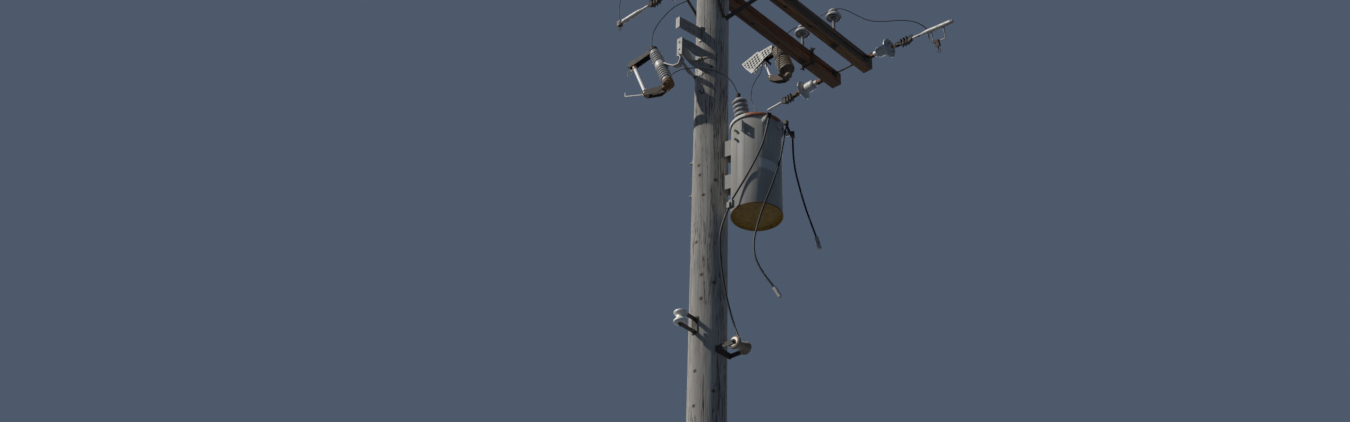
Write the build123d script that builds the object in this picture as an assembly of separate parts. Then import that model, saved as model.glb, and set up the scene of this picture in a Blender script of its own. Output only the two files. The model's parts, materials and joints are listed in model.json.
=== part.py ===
"""Wood pole with a double crossarm, fused cutouts and a hanging transformer.

Millimetres. +Z is up, the pole's axis is X = Y = 0 and Z = 0 is the ground on the pole's butt face.
The crossarms run along X. The line wires leave along +Y and -Y, and the transformer hangs on the -Y side.
Heights on the pole are counted down from its top, as a line crew frames it.
"""
import os
from collections import namedtuple
from math import cos, hypot, pi, radians, sin, tan

from build123d import *

os.makedirs("parts", exist_ok=True)
UP_FROM = (Align.CENTER, Align.CENTER, Align.MIN)

# Pole
POLE_TOP = 11450
POLE_R_GROUND = 160.3
POLE_R_TOP = 118.0


def pole_r(z):
    return POLE_R_GROUND + (POLE_R_TOP - POLE_R_GROUND) * z / POLE_TOP


def seat(z_low):
    """Distance from the axis of a flat plate that touches the tapered pole at its lower edge."""
    return pole_r(z_low) + 0.05


# Heights below the pole's top
ARM_DROP = 390
BRACE_DROP_FRONT = 1000
BRACE_DROP_BACK = 910
EMPTY_DROP = 1135
WING_DROP = 1420
CAN_DROP = 2105
SPOOL_DROP = 3665
RACK_DROP = 3860

# Crossarms, let into the pole's sides
ARM_LENGTH = 3500
ARM_W = 91
ARM_H = 118
ARM_CHAMFER = 8
GAIN = 4.2
ARM_TOP = POLE_TOP - ARM_DROP
ARM_BOTTOM = ARM_TOP - ARM_H
ARM_MID = ARM_TOP - ARM_H / 2
ARM_IN = pole_r(ARM_MID) - GAIN
ARM_Y = ARM_IN + ARM_W / 2
ARM_OUT = ARM_IN + ARM_W

# Places along the arms
END_MARGIN = 90
PIN_INSET = 360
SPARE_HOLE_PITCH = 315
DEAD_END_X = ARM_LENGTH / 2 - END_MARGIN
PIN_X = DEAD_END_X - PIN_INSET
SPARE_X = (PIN_X - 2 * SPARE_HOLE_PITCH, PIN_X - SPARE_HOLE_PITCH)

# Bolts
BOLT_R = 8
HOLE_R = 8.75
WASHER = 57
WASHER_T = 5
NUT = 26
NUT_T = 13
EYE_R = 26
EYE_HOLE_R = 11
EYE_T = 14
EYE_REACH = 47
CLEVIS_PLAY = 2

# Braces
BRACE_W = 32
BRACE_T = 6
BRACE_FOOT_X = 24
BRACE_X_FRONT = 470
BRACE_X_BACK = 340
BRACE_FOOT_FRONT = POLE_TOP - BRACE_DROP_FRONT
BRACE_FOOT_BACK = POLE_TOP - BRACE_DROP_BACK

# Pin insulators
PIN_RISE = 240
POLE_PIN_RISE = 190
SHED_R = 65
CROWN_R = 40
NECK_R = 35
INSULATOR_H = 80
CROWN_WALL = 28
PIN_STEM_R = 11
PIN_TOP = ARM_TOP + PIN_RISE
POLE_PIN_TOP = POLE_TOP + POLE_PIN_RISE
PIN_HOLE = INSULATOR_H - CROWN_WALL
SHANK_W = 44
SHANK_T = 8
SHANK_LOW = POLE_TOP - 330
SHANK_HIGH = POLE_TOP + 30
POLE_PIN_Y = -seat(SHANK_LOW) - SHANK_T / 2

# Strain insulators, along the string from the arm's outer face
DISC_R = 80
DISC_AT = 233
STRING_END = 312
STRING_SAG = 4
RING_R = 20
RING_HOLE_R = 10
EYE_PIN_R = 9
SHOE_PIN_R = 8
EYE_PIN = EYE_REACH + EYE_HOLE_R - EYE_PIN_R
SHOE_PIN = STRING_END - 10
SHOE_LENGTH = 158
SHOE_END = SHOE_PIN + SHOE_LENGTH

# Line sleeves and the bail under the outer ones
SLEEVE_R = 20
SLEEVE_START = SHOE_END + 120
SLEEVE_END = SLEEVE_START + 272
MID_SLEEVE_START = SHOE_END + 96
MID_SLEEVE_END = MID_SLEEVE_START + 200
BACK_SLEEVE_END = SHOE_END + 146
BAIL_INSET = 60
BAIL_SPAN = 116
BAIL_DROP = 108
BAIL_LEAN = 22
BAIL_R = 5
CLAMP_W = 34

# Brackets on the pole's -X side
WING_Z = POLE_TOP - WING_DROP
WING_REACH = 345
WING_APEX_Y = 9
WING_T = 5
WING_FOOT = 36
WING_LOW = 138
CHANNEL_T = 5
CHANNEL_BACK = WING_REACH + 13
CHANNEL_W = 48
CHANNEL_DEPTH = 29
CHANNEL_Y = -3
EMPTY_Z = POLE_TOP - EMPTY_DROP
EMPTY_REACH = 370

# Cutouts: the porcelain's middle, how far its top leans towards +Y, and the fuse tube
CUT_HALF = 211
TRUNNION_LIFT = 99
TRUNNION_U = TRUNNION_LIFT - CUT_HALF
TRUNNION_R = 6
TRUNNION_HALF = 27
CHEEK_T = 6
RING_PULL_R = 25
RING_WIRE_R = 2.5
RING_REACH = 52
FERRULE_WALL = 2.5
CONTACT_GAP = 0.8
TIP_H = 8
CUT_FIELDS = "mid tilt tube_out tube_r contact_up arm_low arm_rise arm_w cap_h band_r band_up"
Cutout = namedtuple("Cutout", CUT_FIELDS)
LEFT_MID = (-CHANNEL_BACK - 2, 176, WING_Z - 117)
LEFT = Cutout(LEFT_MID, 22.9, 198, 16, CUT_HALF + 25, 2, 46, 50, 28, 40, -30)
RIGHT_MID = (PIN_X - 10, ARM_OUT + 166.5, ARM_MID + 74)
RIGHT = Cutout(RIGHT_MID, 19.5, 154, 12, CUT_HALF - 65, 95, 30, 40, 10, 51, -7)

# Hood over the right cutout's contact, in its own frame: distances out and up from the porcelain's middle
HOOD_NEAR = 38
HOOD_FAR = 28
HOOD_T = 4
HOOD_RIM = 9
HOOD_PITCH = 27
HOOD_HOLE = 18.5
HOOD_OUTLINE = [(18, 161), (150, 198), (160, 218), (337, 229), (321, 153), (286, 56), (245, 75), (145, 92),
                (140, 100), (49, 99)]
HOOD_LIP = [(328, 150), (293, 46), (240, 72), (262, 96), (296, 122)]
HOOD_FAR_LIFT = 44

# Transformer: the hanging direction, then sizes
CAN_AZ = -78.9
CAN_R = 180
CAN_WALL = 4
CAN_HEIGHT = 748
CAN_GAP = 68
FLOOR_UP = 22
COVER_T = 5
BAND_H = 24
BAND_T = 12
CAN_TOP = POLE_TOP - CAN_DROP
CAN_BOTTOM = CAN_TOP - CAN_HEIGHT
HANGER_Z = (CAN_TOP - 125, CAN_TOP - 411)
HANGER_H = (130, 116)
HANGER_W = 84
HANGER_T = 6
CAN_STAND = pole_r(HANGER_Z[0]) + CAN_R + CAN_GAP
HV_AZ = 110
HV_AT = CAN_R - 50
HV_BASE = 20
HV_LEAN = 13
HV_SPIGOT_R = 23
HV_HEIGHT = 160
LV_AZ = (-42, -8, 25)
LV_Z = CAN_TOP - 55
LV_SPIGOT_R = 15.5
STUD_AZ = -111
STUD_DROPS = (109, 182)
LUG_DROP = 108
LUG_H = 90
LUG_REACH = 46

# Secondary hardware
SPOOL_Z = POLE_TOP - SPOOL_DROP
RACK_Z = POLE_TOP - RACK_DROP
SPOOL_X = -277
RACK_Y = -285
SPOOL_R = 47
SPOOL_H = 94
RACK_SPOOL_H = 138
SPOOL_BOLT_R = 8

# Wires
BARE_R = 4
LEAD_R = 7


# Shared shapes
def rod(r, a, b):
    """Round bar from point a to point b."""
    a = Vector(*a)
    b = Vector(*b)
    return Plane(origin=a, z_dir=b - a) * Cylinder(r, (b - a).length, align=UP_FROM)


def turned(points):
    """Solid of revolution about Z from (radius, height) points, closed to the axis."""
    low = points[0][1]
    high = points[-1][1]
    outline = [(0, low)] + list(points) + [(0, high)]
    face = make_face(Polyline(*outline, close=True))
    return revolve(Plane.XZ * face, axis=Axis.Z)


def block(x, y, z, at=(0, 0, 0)):
    return Pos(*at) * Box(x, y, z)


def cross_disc(r, t, y=0, z=0):
    """Disc across X at a height."""
    return Pos(0, y, z) * Rot(0, 90, 0) * Cylinder(r, t)


def side_plate(points, thickness, x=0):
    """Plate across X from (y, z) outline points."""
    face = make_face(Polyline(*points, close=True))
    return Pos(x, 0, 0) * extrude(Plane.YZ * face, thickness / 2, both=True)


def ribs(r_core, r_rib, low, pitch, count):
    """Outline points of a stack of rounded ribs, from the bottom up."""
    points = []
    for i in range(count):
        z = low + i * pitch
        points += [(r_core, z), (r_rib, z + pitch * 0.22)]
        points += [(r_rib, z + pitch * 0.5), (r_core, z + pitch * 0.72)]
    return points


def sheds(r_core, r_shed, low, pitch, count):
    """Outline points of a stack of sloping sheds, from the bottom up."""
    points = []
    for i in range(count):
        z = low + i * pitch
        points += [(r_core, z), (r_shed, z + pitch * 0.14)]
        points += [(r_shed, z + pitch * 0.35), (r_core, z + pitch * 0.85)]
    return points


def save(name, shape):
    export_step(shape, f"parts/{name}.step")
    print(name, round(shape.volume / 1e6, 3), "litres")


# Pole and arms
def through_bolt_hole(z):
    """Hole along X through the pole."""
    reach = POLE_R_GROUND + 20
    return rod(HOLE_R, (-reach, 0, z), (reach, 0, z))


def make_pole():
    pole = Cone(POLE_R_GROUND, POLE_R_TOP, POLE_TOP, align=UP_FROM)
    pole = chamfer(pole.faces().sort_by(Axis.Z)[-1].edges(), 6)
    for side in (-1, 1):
        pole -= block(3 * POLE_R_TOP, 100, ARM_H + 2, (0, side * (ARM_IN + 50), ARM_MID))
    pole -= rod(HOLE_R, (0, -2 * POLE_R_TOP, ARM_MID), (0, 2 * POLE_R_TOP, ARM_MID))
    pole -= through_bolt_hole(WING_Z)
    pole -= through_bolt_hole(EMPTY_Z)
    for z in HANGER_Z:
        pole -= turn_can(through_bolt_hole(z))
    return pole


def make_arm(side):
    """Timber with its bolt holes, its pin holes and two spare pin holes on each half."""
    arm = block(ARM_LENGTH, ARM_W, ARM_H, (0, side * ARM_Y, ARM_MID))
    arm = chamfer(arm.edges().filter_by(Axis.X).group_by(Axis.Z)[-1], ARM_CHAMFER)
    for x in (-DEAD_END_X, 0, DEAD_END_X):
        arm -= rod(HOLE_R, (x, side * (ARM_IN - 20), ARM_MID), (x, side * (ARM_OUT + 20), ARM_MID))
    pin_hole = rod(HOLE_R, (0, side * ARM_Y, ARM_BOTTOM - 10), (0, side * ARM_Y, ARM_TOP + 10))
    for x in SPARE_X + (PIN_X,):
        for hand in (-1, 1):
            arm -= Pos(hand * x, 0, 0) * pin_hole
    return arm


def eye(side):
    """Eye nut on the arm's outer face, its hole along X."""
    body = block(22, 20, 22, (0, ARM_OUT + WASHER_T + 10, 0))
    ring = cross_disc(EYE_R, EYE_T, EYE_REACH + ARM_OUT)
    ring -= cross_disc(EYE_HOLE_R, EYE_T + 2, EYE_REACH + ARM_OUT)
    shape = body + ring
    return shape if side > 0 else mirror(shape, Plane.XZ)


def make_arm_bolts():
    """Bolts through both arms: the middle one goes through the pole, the end ones space the arms apart."""
    bolts = []
    for x in (-DEAD_END_X, 0, DEAD_END_X):
        bolt = rod(BOLT_R, (0, -ARM_OUT - 18, 0), (0, ARM_OUT + 18, 0))
        for side in (-1, 1):
            bolt += block(WASHER, WASHER_T, WASHER, (0, side * (ARM_OUT + WASHER_T / 2), 0))
            bolt += eye(side)
            if x:
                bolt += block(WASHER, WASHER_T, WASHER, (0, side * (ARM_IN - WASHER_T / 2), 0))
                bolt += block(NUT, NUT_T, NUT, (0, side * (ARM_IN - WASHER_T - NUT_T / 2), 0))
        bolts.append(Pos(x, 0, ARM_MID) * bolt)
    return Compound(children=bolts)


def make_braces(side):
    """Two flat straps, bent to lie flat on the pole at the foot and on the arm at the top."""
    foot = BRACE_FOOT_BACK if side > 0 else BRACE_FOOT_FRONT
    reach = BRACE_X_BACK if side > 0 else BRACE_X_FRONT
    foot_y = seat(foot - 40)
    rise = ARM_MID - 12 - foot
    length = hypot(reach - BRACE_FOOT_X, rise)
    step = ARM_OUT - foot_y
    flat = [(-24, 0), (30, 0), (length - 70, step), (length + 24, step)]
    outline = flat + [(s, y + BRACE_T) for s, y in reversed(flat)]
    strip = extrude(Plane.XY * make_face(Polyline(*outline, close=True)), BRACE_W / 2, both=True)
    straps = []
    for hand in (-1, 1):
        run = Vector(hand * (reach - BRACE_FOOT_X), 0, rise).normalized()
        out = Vector(0, side, 0)
        plane = Plane(origin=(hand * BRACE_FOOT_X, side * foot_y, foot), x_dir=run, z_dir=run.cross(out))
        straps.append(plane * strip)
    return Compound(children=straps)


# Pin insulators
def pin_places():
    return [(x, y) for x in (-PIN_X, PIN_X) for y in (-ARM_Y, ARM_Y)]


def make_pins():
    """Steel pins through the arms, and one on a flat shank at the pole's top."""
    pins = []
    for x, y in pin_places():
        stem = PIN_TOP - INSULATOR_H + PIN_HOLE - ARM_TOP
        pin = rod(BOLT_R, (x, y, ARM_BOTTOM - 40), (x, y, ARM_TOP + 2))
        pin += Pos(x, y, ARM_TOP) * turned([(28, 0), (28, 5), (PIN_STEM_R + 2, 12), (PIN_STEM_R, stem)])
        pin += Pos(x, y, ARM_BOTTOM - WASHER_T / 2) * Box(WASHER, WASHER, WASHER_T)
        pin += Pos(x, y, ARM_BOTTOM - WASHER_T - NUT_T / 2) * Box(NUT, NUT, NUT_T)
        pins.append(pin)
    shank = block(SHANK_W, SHANK_T, SHANK_HIGH - SHANK_LOW, (0, POLE_PIN_Y, (SHANK_HIGH + SHANK_LOW) / 2))
    foot = SHANK_HIGH - 10
    stem = POLE_PIN_TOP - INSULATOR_H + PIN_HOLE - foot
    shank += Pos(0, POLE_PIN_Y, foot) * turned([(16, 0), (16, 10), (PIN_STEM_R, 24), (PIN_STEM_R, stem)])
    pins.append(shank)
    return Compound(children=pins)


def insulator_body():
    """Pin insulator: wide skirt, neck with a wire groove, crown, and an inner petticoat. Z = 0 is its rim."""
    h = INSULATOR_H
    skirt = [(SHED_R - 4, 0), (SHED_R, 4), (SHED_R - 1, 0.18 * h), (0.8 * SHED_R, 0.42 * h)]
    crown = [(CROWN_R, 0.74 * h), (CROWN_R - 3, 0.9 * h), (0.5 * CROWN_R, h)]
    body = turned(skirt + [(NECK_R, 0.54 * h), (NECK_R, 0.66 * h)] + crown)
    groove = Cylinder(0.86 * SHED_R, 0.4 * h) - Cylinder(0.56 * SHED_R, 0.5 * h)
    cup = turned([(0.44 * SHED_R, -1), (0.4 * SHED_R, 0.1 * h), (PIN_STEM_R + 4, 0.3 * h)])
    return body - groove - cup - Cylinder(PIN_STEM_R + 0.5, PIN_HOLE, align=UP_FROM)


def make_pin_insulators():
    body = insulator_body()
    parts = [Pos(x, y, PIN_TOP - INSULATOR_H) * body for x, y in pin_places()]
    parts.append(Pos(0, POLE_PIN_Y, POLE_PIN_TOP - INSULATOR_H) * body)
    return Compound(children=parts)


# Strain insulators
def strings():
    """(x, side) of each of the six strings."""
    return [(x, side) for x in (-DEAD_END_X, 0, DEAD_END_X) for side in (-1, 1)]


def along(side, shape, x):
    """Stand a shape built along +Z, +Y up, on the eye of side +Y or -Y, sagging a little about the eye."""
    turn = Rot(0, 0, 180) * Rot(90, 0, 0) if side > 0 else Rot(90, 0, 0)
    sag = Pos(0, 0, EYE_PIN) * Rot(STRING_SAG, 0, 0) * Pos(0, 0, -EYE_PIN)
    return Pos(x, side * ARM_OUT, ARM_MID) * turn * sag * shape


def clevis(z_pin, z_root, gap, pin_r, r=16, ear=8):
    """Two ears and a pin along X at z_pin, joined at z_root."""
    shape = block(gap + 2 * ear, 2 * r, 10, (0, 0, z_root)) + cross_disc(pin_r, gap + 2 * ear + 8, 0, z_pin)
    for hand in (-1, 1):
        x = hand * (gap + ear) / 2
        shape += block(ear, 2 * r, abs(z_root - z_pin), (x, 0, (z_root + z_pin) / 2))
        shape += Pos(x, 0, 0) * cross_disc(r, ear, 0, z_pin)
    return shape


def string_insulator():
    """Clevis, porcelain neck, a disc with two grooves on its far face, and the ring for the line's clamp."""
    shape = clevis(EYE_PIN, EYE_PIN + 35, EYE_T + CLEVIS_PLAY, EYE_PIN_R)
    neck = EYE_PIN + 31
    d = DISC_AT
    body = [(18, neck), (23, neck + 10), (25, neck + 36), (38, neck + 42), (43, neck + 56), (42, d - 40)]
    body += [(35, d - 26), (40, d - 18), (0.8 * DISC_R, d - 10), (DISC_R, d - 3), (DISC_R, d + 4)]
    body += [(DISC_R - 7, d + 9), (DISC_R - 11, d + 3), (DISC_R - 20, d + 3), (DISC_R - 23, d + 15)]
    body += [(DISC_R - 31, d + 15), (DISC_R - 35, d + 1), (DISC_R - 45, d + 1), (28, d + 18), (13, d + 20)]
    shape += turned(body + [(10, d + 24), (10, STRING_END - RING_R - 8)])
    centre = STRING_END - RING_R + 8
    ring = cross_disc(RING_R, EYE_T, 0, centre) - cross_disc(RING_HOLE_R, EYE_T + 2, 0, centre)
    return shape + ring


def make_string_insulators():
    body = string_insulator()
    return Compound(children=[along(side, body, x) for x, side in strings()])


def strain_clamp():
    """Clevis, boat-shaped body, keepers held by U-bolts over the line wire and an eye at the mouth."""
    shape = clevis(SHOE_PIN, SHOE_PIN + 40, EYE_T + CLEVIS_PLAY, SHOE_PIN_R, r=14)
    shape += side_plate([(-15, SHOE_PIN + 36), (-30, SHOE_PIN + 70), (-30, SHOE_END - 30), (-12, SHOE_END),
                         (14, SHOE_END), (14, SHOE_PIN + 36)], 28)
    for i in range(3):
        z = SHOE_PIN + 58 + 28 * i
        shape += block(52, 12, 10, (0, 20, z))
        shape += block(7, 62, 7, (19, -4, z)) + block(7, 62, 7, (-19, -4, z))
    return shape + Pos(0, 26, SHOE_END - 14) * Rot(0, 90, 0) * Torus(15, 4)


def make_clamps():
    shape = strain_clamp()
    return Compound(children=[along(side, shape, x) for x, side in strings()])


def bail():
    """Loop under the sleeve, leaning over, with a tapered sleeve on the upper half of each leg."""
    first = SLEEVE_START + BAIL_INSET
    last = first + BAIL_SPAN
    top = (0, -6, first)
    path = FilletPolyline(top, (0, -BAIL_DROP, first), (0, -BAIL_DROP, last), (0, -6, last), radius=12)
    shape = sweep(Plane(origin=top, z_dir=(0, -1, 0)) * Circle(BAIL_R), path)
    cone = Rot(-90, 0, 0) * Cone(BAIL_R + 1, BAIL_R + 6, 0.5 * BAIL_DROP, align=UP_FROM)
    for z in (first, last):
        shape += Pos(0, -0.52 * BAIL_DROP, z) * cone
    return Rot(0, 0, BAIL_LEAN) * shape


def line_sleeve(start, end):
    """Armoured stretch of the line wire with a long pressed sleeve."""
    return turned([(BARE_R * 2, SHOE_END), (11, SHOE_END + 20), (11, start - 30), (SLEEVE_R - 3, start),
                   (SLEEVE_R, start + 40), (SLEEVE_R, end - 20), (12, end)])


def make_sleeves():
    outer = line_sleeve(SLEEVE_START, SLEEVE_END) + bail()
    middle = line_sleeve(MID_SLEEVE_START, MID_SLEEVE_END)
    back = turned([(8, SHOE_END), (11, SHOE_END + 20), (11, BACK_SLEEVE_END), (7, BACK_SLEEVE_END + 16)])
    parts = [along(-1, outer, x) for x in (-DEAD_END_X, DEAD_END_X)]
    parts += [along(side, middle, 0) for side in (-1, 1)]
    parts += [along(1, back, x) for x in (-DEAD_END_X, DEAD_END_X)]
    return Compound(children=parts)


def eye_screw(y):
    """Screw that hangs from a clamp's underside at y, ending in a ring for a hot stick."""
    return rod(5, (0, y, 0), (0, y - 22, 0)) + Pos(0, y - 35, 0) * Rot(0, 90, 0) * Torus(13, 3.5)


def make_hot_line_clamps():
    """A clamp hung on the right bail near its first leg, and one on each middle line's end."""
    on_bail = block(30, 56, CLAMP_W, (0, -14, 0)) - Cylinder(BAIL_R + 0.2, 2 * CLAMP_W) + eye_screw(-41)
    on_bail = Rot(0, 0, BAIL_LEAN) * Pos(0, -BAIL_DROP, SLEEVE_START + BAIL_INSET + CLAMP_W) * on_bail
    parts = [along(-1, on_bail, DEAD_END_X)]
    on_sleeve = block(CLAMP_W, 46, CLAMP_W) + eye_screw(-22)
    on_sleeve = Pos(0, 0, MID_SLEEVE_END + CLAMP_W / 2) * on_sleeve
    parts += [along(side, on_sleeve, 0) for side in (-1, 1)]
    return Compound(children=parts)


# Cutouts, built with the porcelain along Z and the fuse tube on the +Y side
def at_cutout(cut, shape):
    return Pos(*cut.mid) * Rot(-cut.tilt, 0, 0) * shape


def cutout_point(cut, x, out, up):
    t = radians(cut.tilt)
    return (cut.mid[0] + x, cut.mid[1] + out * cos(t) + up * sin(t), cut.mid[2] - out * sin(t) + up * cos(t))


def left_porcelain():
    """Slim body: a smooth foot, five ribs, a plain middle for the band, five ribs and a smooth top."""
    top = CUT_HALF - LEFT.arm_low - LEFT.cap_h - 0.1
    points = [(38, -CUT_HALF + 23)] + ribs(38, 45, -CUT_HALF + 57, 23, 5)
    points += [(LEFT.band_r, -CUT_HALF + 163), (LEFT.band_r, CUT_HALF - 175)]
    points += ribs(38, 45, CUT_HALF - 167, 23, 5) + [(38, top - 6), (33, top)]
    return turned(points)


def right_porcelain():
    """Stout body: a ribbed bell with rings under it, a plain middle for the band, a ribbed upper part."""
    top = CUT_HALF - RIGHT.arm_low - RIGHT.cap_h - 0.1
    foot = -CUT_HALF + 34
    points = [(11, -CUT_HALF), (11, foot + 4), (24, foot + 6), (27, foot), (33, foot), (36, foot + 12)]
    points += [(42, foot + 12), (45, foot + 4), (51, foot + 4)]
    points += [(54, foot + 18), (59, foot + 18), (62, foot + 10)]
    points += ribs(60, 67, foot + 12, 22, 6) + [(RIGHT.band_r, foot + 148), (RIGHT.band_r, foot + 189)]
    points += ribs(48, 57, foot + 191, 22, 4) + [(46, top - 4), (33, top)]
    return turned(points)


def arm_line(cut):
    """Start, direction and length of the contact arm's top line, as (out, up) vectors."""
    start = Vector(12, CUT_HALF - cut.arm_low)
    end = Vector(cut.tube_out + 28, cut.contact_up + cut.arm_rise)
    return start, (end - start).normalized(), (end - start).length


def upper_contact(cut):
    """Cap with the line's terminal, and an inverted channel over the fuse holder with the contact in it."""
    start, run, length = arm_line(cut)
    cap = turned([(33, start.Y - cut.cap_h), (33, start.Y + 6), (20, start.Y + 12)])
    cap += block(30, 12, 46, (0, 0, start.Y + 28))
    wall = 4
    lip = cut.arm_rise - TIP_H - wall
    outer = Polyline((0, 0), (length - 12, 0), (length, -12), (length, -50), (0.55 * length, -44), (0, -34),
                     close=True)
    inner = Polyline((-20, -wall), (length - 14, -wall), (length - wall, -14), (length - wall, -lip),
                     (length + 9, -lip), (length + 9, -90), (-20, -90), close=True)
    arm = extrude(make_face(outer), cut.arm_w / 2, both=True)
    arm -= extrude(make_face(inner), cut.arm_w / 2 - wall, both=True)
    arm = Plane(origin=(0, start.X, start.Y), x_dir=(0, run.X, run.Y), z_dir=(1, 0, 0)) * arm
    arm -= Cylinder(cut.band_r + 7, start.Y - cut.cap_h, align=UP_FROM)
    web = start.Y + run.Y / run.X * (cut.tube_out - start.X)
    nub_low = cut.contact_up + TIP_H + CONTACT_GAP
    arm += Pos(0, cut.tube_out, nub_low) * Cylinder(8, web - 2 - nub_low, align=UP_FROM)
    return cap + arm


def right_upper_contact():
    """The contact of the right cutout also has a side terminal and a guide horn beside the fuse holder."""
    shape = upper_contact(RIGHT)
    shape += block(14, 28, 14, (-RIGHT.arm_w / 2 - 5, 126, 130))
    horn = [(98, 118), (104, 142), (138, 152), (146, 112), (128, 46), (112, 58), (126, 108)]
    return shape + side_plate(horn, 4, RIGHT.arm_w / 2)


def lower_contact(cut, cheek, cap):
    """Cap, two cheeks with trunnion holes, the load terminal on the near side and a hook below."""
    shape = cap
    middle = TRUNNION_HALF - CHEEK_T / 2
    for hand in (-1, 1):
        shape += side_plate(cheek, CHEEK_T, hand * middle)
        hole = cross_disc(TRUNNION_R + 0.05, CHEEK_T + 4, cut.tube_out, TRUNNION_U)
        shape -= Pos(hand * middle, 0, 0) * hole
    shape += block(2 * middle, 38, 12, (0, 44, -CUT_HALF - 12))
    shape += rod(6, (0, 30, -CUT_HALF - 14), (0, 26, -CUT_HALF - 40))
    return shape + Pos(0, 20, -CUT_HALF - 50) * Rot(0, 90, 0) * Torus(14, 3.5)


def left_lower_contact():
    out = LEFT.tube_out
    cheek = [(-4, -CUT_HALF - 4), (40, -CUT_HALF + 4), (96, -CUT_HALF + 46), (out - 22, TRUNNION_U + 4),
             (out - 12, TRUNNION_U + 16), (out + 16, TRUNNION_U + 16), (out + 16, TRUNNION_U - 20),
             (out - 36, TRUNNION_U - 66), (104, -CUT_HALF - 18), (-4, -CUT_HALF - 24)]
    cap = turned([(28, -CUT_HALF - 28), (38, -CUT_HALF - 22), (40, -CUT_HALF + 22.9)])
    shape = lower_contact(LEFT, cheek, cap)
    return shape + block(26, 26, 10, (-34, 16, -CUT_HALF - 9))


def right_lower_contact():
    out = RIGHT.tube_out
    cheek = [(-8, -CUT_HALF - 2), (30, -CUT_HALF - 2), (74, -CUT_HALF + 38), (out - 24, TRUNNION_U - 2),
             (out - 12, TRUNNION_U + 14), (out + 14, TRUNNION_U + 14), (out + 14, TRUNNION_U - 22),
             (out - 28, TRUNNION_U - 82), (66, -CUT_HALF - 30), (-8, -CUT_HALF - 24)]
    cap = turned([(24, -CUT_HALF - 22), (24, -CUT_HALF - 6), (14, -CUT_HALF - 0.1)])
    shape = lower_contact(RIGHT, cheek, cap)
    return shape + block(44, 24, 10, (-46, 52, -CUT_HALF + 5))


def fuse_holder(cut):
    """Fuse tube with its ferrule, pull ring and trunnion casting."""
    top = cut.contact_up
    ferrule_r = cut.tube_r + FERRULE_WALL
    tube = [(cut.tube_r, TRUNNION_U - 30), (cut.tube_r, top - 44), (ferrule_r, top - 40), (ferrule_r, top)]
    shape = Pos(0, cut.tube_out, 0) * turned(tube + [(0.6 * cut.tube_r, top + TIP_H)])
    shape += block(2 * TRUNNION_HALF - 2 * CHEEK_T - 2, 40, 44, (0, cut.tube_out, TRUNNION_U))
    shape += cross_disc(TRUNNION_R, 2 * TRUNNION_HALF, cut.tube_out, TRUNNION_U)
    shape += block(10, 26, 10, (0, cut.tube_out + ferrule_r + 8, top - 26))
    ring = Pos(0, cut.tube_out + RING_REACH, top - 30) * Rot(0, 90, 0) * Torus(RING_PULL_R, RING_WIRE_R)
    return shape + ring


def left_fuse_holder():
    """The left fuse holder has a long lifting lever with an upturned tip."""
    start = (0, LEFT.tube_out + 10, TRUNNION_U)
    elbow = (0, LEFT.tube_out + 165, TRUNNION_U + 150)
    tip = (0, LEFT.tube_out + 152, TRUNNION_U + 182)
    return fuse_holder(LEFT) + rod(5, start, elbow) + Pos(*elbow) * Sphere(5) + rod(5, elbow, tip)


def hood_panel(outline):
    """Moulded lattice: a rim round the outline, a solid lip and bars between square holes."""
    panel = make_face(Polyline(*outline, close=True))
    inside = offset(panel, -HOOD_RIM)
    cells = Sketch() + [Pos(178, 140) * spot * Rectangle(HOOD_HOLE, HOOD_HOLE)
                        for spot in GridLocations(HOOD_PITCH, HOOD_PITCH, 13, 9)]
    solid = make_face(Polyline(*HOOD_LIP, close=True))
    bar = make_face(Polyline((138, 90), (150, 222), (164, 224), (152, 88), close=True))
    return panel - (cells & inside - solid - bar)


def make_hood():
    """Lattice hood over the right cutout's contact: two side panels, a roof and a foot on the arm."""
    near = hood_panel(HOOD_OUTLINE)
    far_outline = HOOD_OUTLINE[:5] + [(out, up + HOOD_FAR_LIFT) for out, up in HOOD_OUTLINE[5:]]
    far = make_face(Polyline(*far_outline, close=True))
    shape = Pos(-HOOD_NEAR, 0, 0) * extrude(Plane.YZ * near, HOOD_T)
    shape += Pos(HOOD_FAR - HOOD_T, 0, 0) * extrude(Plane.YZ * far, HOOD_T)
    width = HOOD_NEAR + HOOD_FAR
    middle = (HOOD_FAR - HOOD_NEAR) / 2
    top = HOOD_OUTLINE[:4]
    roof = top + [(out, up + HOOD_T) for out, up in reversed(top)]
    shape += side_plate(roof, width, middle)
    start, run, length = arm_line(RIGHT)
    foot = [(out, start.Y + run.Y / run.X * (out - start.X) + 0.1) for out in (60, 100)]
    roof_foot = [(100, 185), (60, 174)]
    shape += side_plate(foot + roof_foot, 16)
    return at_cutout(RIGHT, shape)


# Brackets that carry the cutouts
def body_band(cut):
    """Steel band round the porcelain's plain middle."""
    ring = Cylinder(cut.band_r + 6, 30) - Cylinder(cut.band_r + 0.2, 40)
    return at_cutout(cut, Pos(0, 0, cut.band_up) * ring)


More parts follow.
